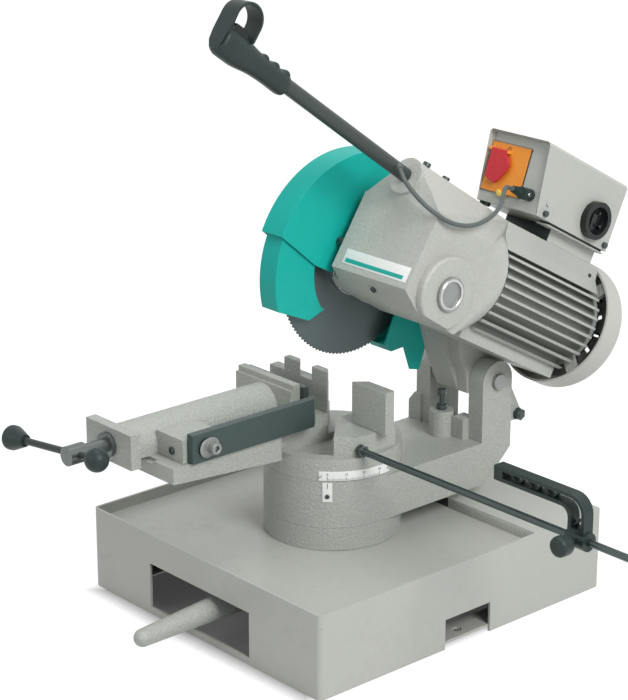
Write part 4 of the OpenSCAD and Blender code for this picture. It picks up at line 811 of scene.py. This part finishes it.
# Set screw and washer of the vise
piece("lug_set_screw", lathe(screw(4.6, 1.8, 2.6), on(MM, -13, -221, 229, TO_FRONT), 32), BLACK_STEEL,
      "carriage")
BAR_WASHER = [(6.8, 0), (6.8, 0.5), (10.6, 0.5), (11, 0.2), (11, 0)]
piece("bar_washer", lathe(BAR_WASHER, on(MM, 18, -196, 234.3, TO_RIGHT), 40), GREY_STEEL, "carriage")

# Floor, backdrop and light
def make_stage():
    build = bmesh.new()
    bmesh.ops.create_grid(build, x_segments=1, y_segments=1, size=20)
    mesh = bpy.data.meshes.new("floor")
    build.to_mesh(mesh)
    build.free()
    floor = bpy.data.objects.new("floor", mesh)
    floor.location.z = -0.0005
    bpy.context.scene.collection.objects.link(floor)
    material = bpy.data.materials.new("pale floor")
    material.use_nodes = True
    tree = material.node_tree
    tree.nodes.clear()
    lit = tree.nodes.new("ShaderNodeBsdfDiffuse")
    lit.inputs["Color"].default_value = (0.3, 0.3, 0.3, 1)
    glow = tree.nodes.new("ShaderNodeEmission")
    place = tree.nodes.new("ShaderNodeSeparateXYZ")
    tree.links.new(tree.nodes.new("ShaderNodeTexCoord").outputs["Object"], place.inputs[0])
    # The floor's glow drops almost to nothing under the tray's footprint: painted shade on the floor seen
    # through the tray's open bottom.
    out_x = remap(tree, math_node(tree, "ABSOLUTE", place.outputs["X"], 0.0), 0.170, 0.200, 0.0, 1.0)
    out_y = remap(tree, math_node(tree, "ABSOLUTE", place.outputs["Y"], 0.0), 0.190, 0.220, 0.0, 1.0)
    outside = math_node(tree, "MAXIMUM", out_x, out_y)
    tree.links.new(remap(tree, outside, 0.0, 1.0, 0.04, 0.86), glow.inputs["Strength"])
    seen = tree.nodes.new("ShaderNodeAddShader")
    tree.links.new(lit.outputs[0], seen.inputs[0])
    tree.links.new(glow.outputs[0], seen.inputs[1])
    bounce = tree.nodes.new("ShaderNodeBsdfDiffuse")
    bounce.inputs["Color"].default_value = (0.6, 0.6, 0.6, 1)
    path = tree.nodes.new("ShaderNodeLightPath")
    sight = math_node(tree, "MAXIMUM", path.outputs["Is Camera Ray"], path.outputs["Is Glossy Ray"])
    sight = math_node(tree, "MAXIMUM", sight, path.outputs["Is Transmission Ray"])
    mix = tree.nodes.new("ShaderNodeMixShader")
    tree.links.new(sight, mix.inputs[0])
    tree.links.new(bounce.outputs[0], mix.inputs[1])
    tree.links.new(seen.outputs[0], mix.inputs[2])
    tree.links.new(mix.outputs[0], tree.nodes.new("ShaderNodeOutputMaterial").inputs["Surface"])
    mesh.materials.append(material)

    world = bpy.data.worlds.new("studio")
    bpy.context.scene.world = world
    world.use_nodes = True
    tree = world.node_tree
    path = tree.nodes.new("ShaderNodeLightPath")
    sight = math_node(tree, "MAXIMUM", path.outputs["Is Camera Ray"], path.outputs["Is Glossy Ray"])
    sight = math_node(tree, "MAXIMUM", sight, path.outputs["Is Transmission Ray"])
    background = tree.nodes["Background"]
    background.inputs["Color"].default_value = (1, 1, 1, 1)
    tree.links.new(remap(tree, sight, 0.0, 1.0, 0.38, 1.0), background.inputs["Strength"])


def lamp(name, place, target, size, watts):
    made = bpy.data.objects.new(name, bpy.data.lights.new(name, "AREA"))
    made.data.shape = "DISK"
    made.data.size = size
    made.data.energy = watts
    made.location = place
    made.rotation_euler = (Vector(target) - Vector(place)).to_track_quat("-Z", "Y").to_euler()
    bpy.context.scene.collection.objects.link(made)


make_stage()
lamp("key", (2.6, -0.3, 2.2), (0, 0, 0.3), 1.6, 72)
lamp("front", (-0.6, -3.0, 1.6), (0, 0, 0.25), 2.0, 15)
lamp("top", (0, 0.2, 3.2), (0, 0.1, 0), 2.0, 28)
bpy.context.scene.view_settings.view_transform = "Standard"
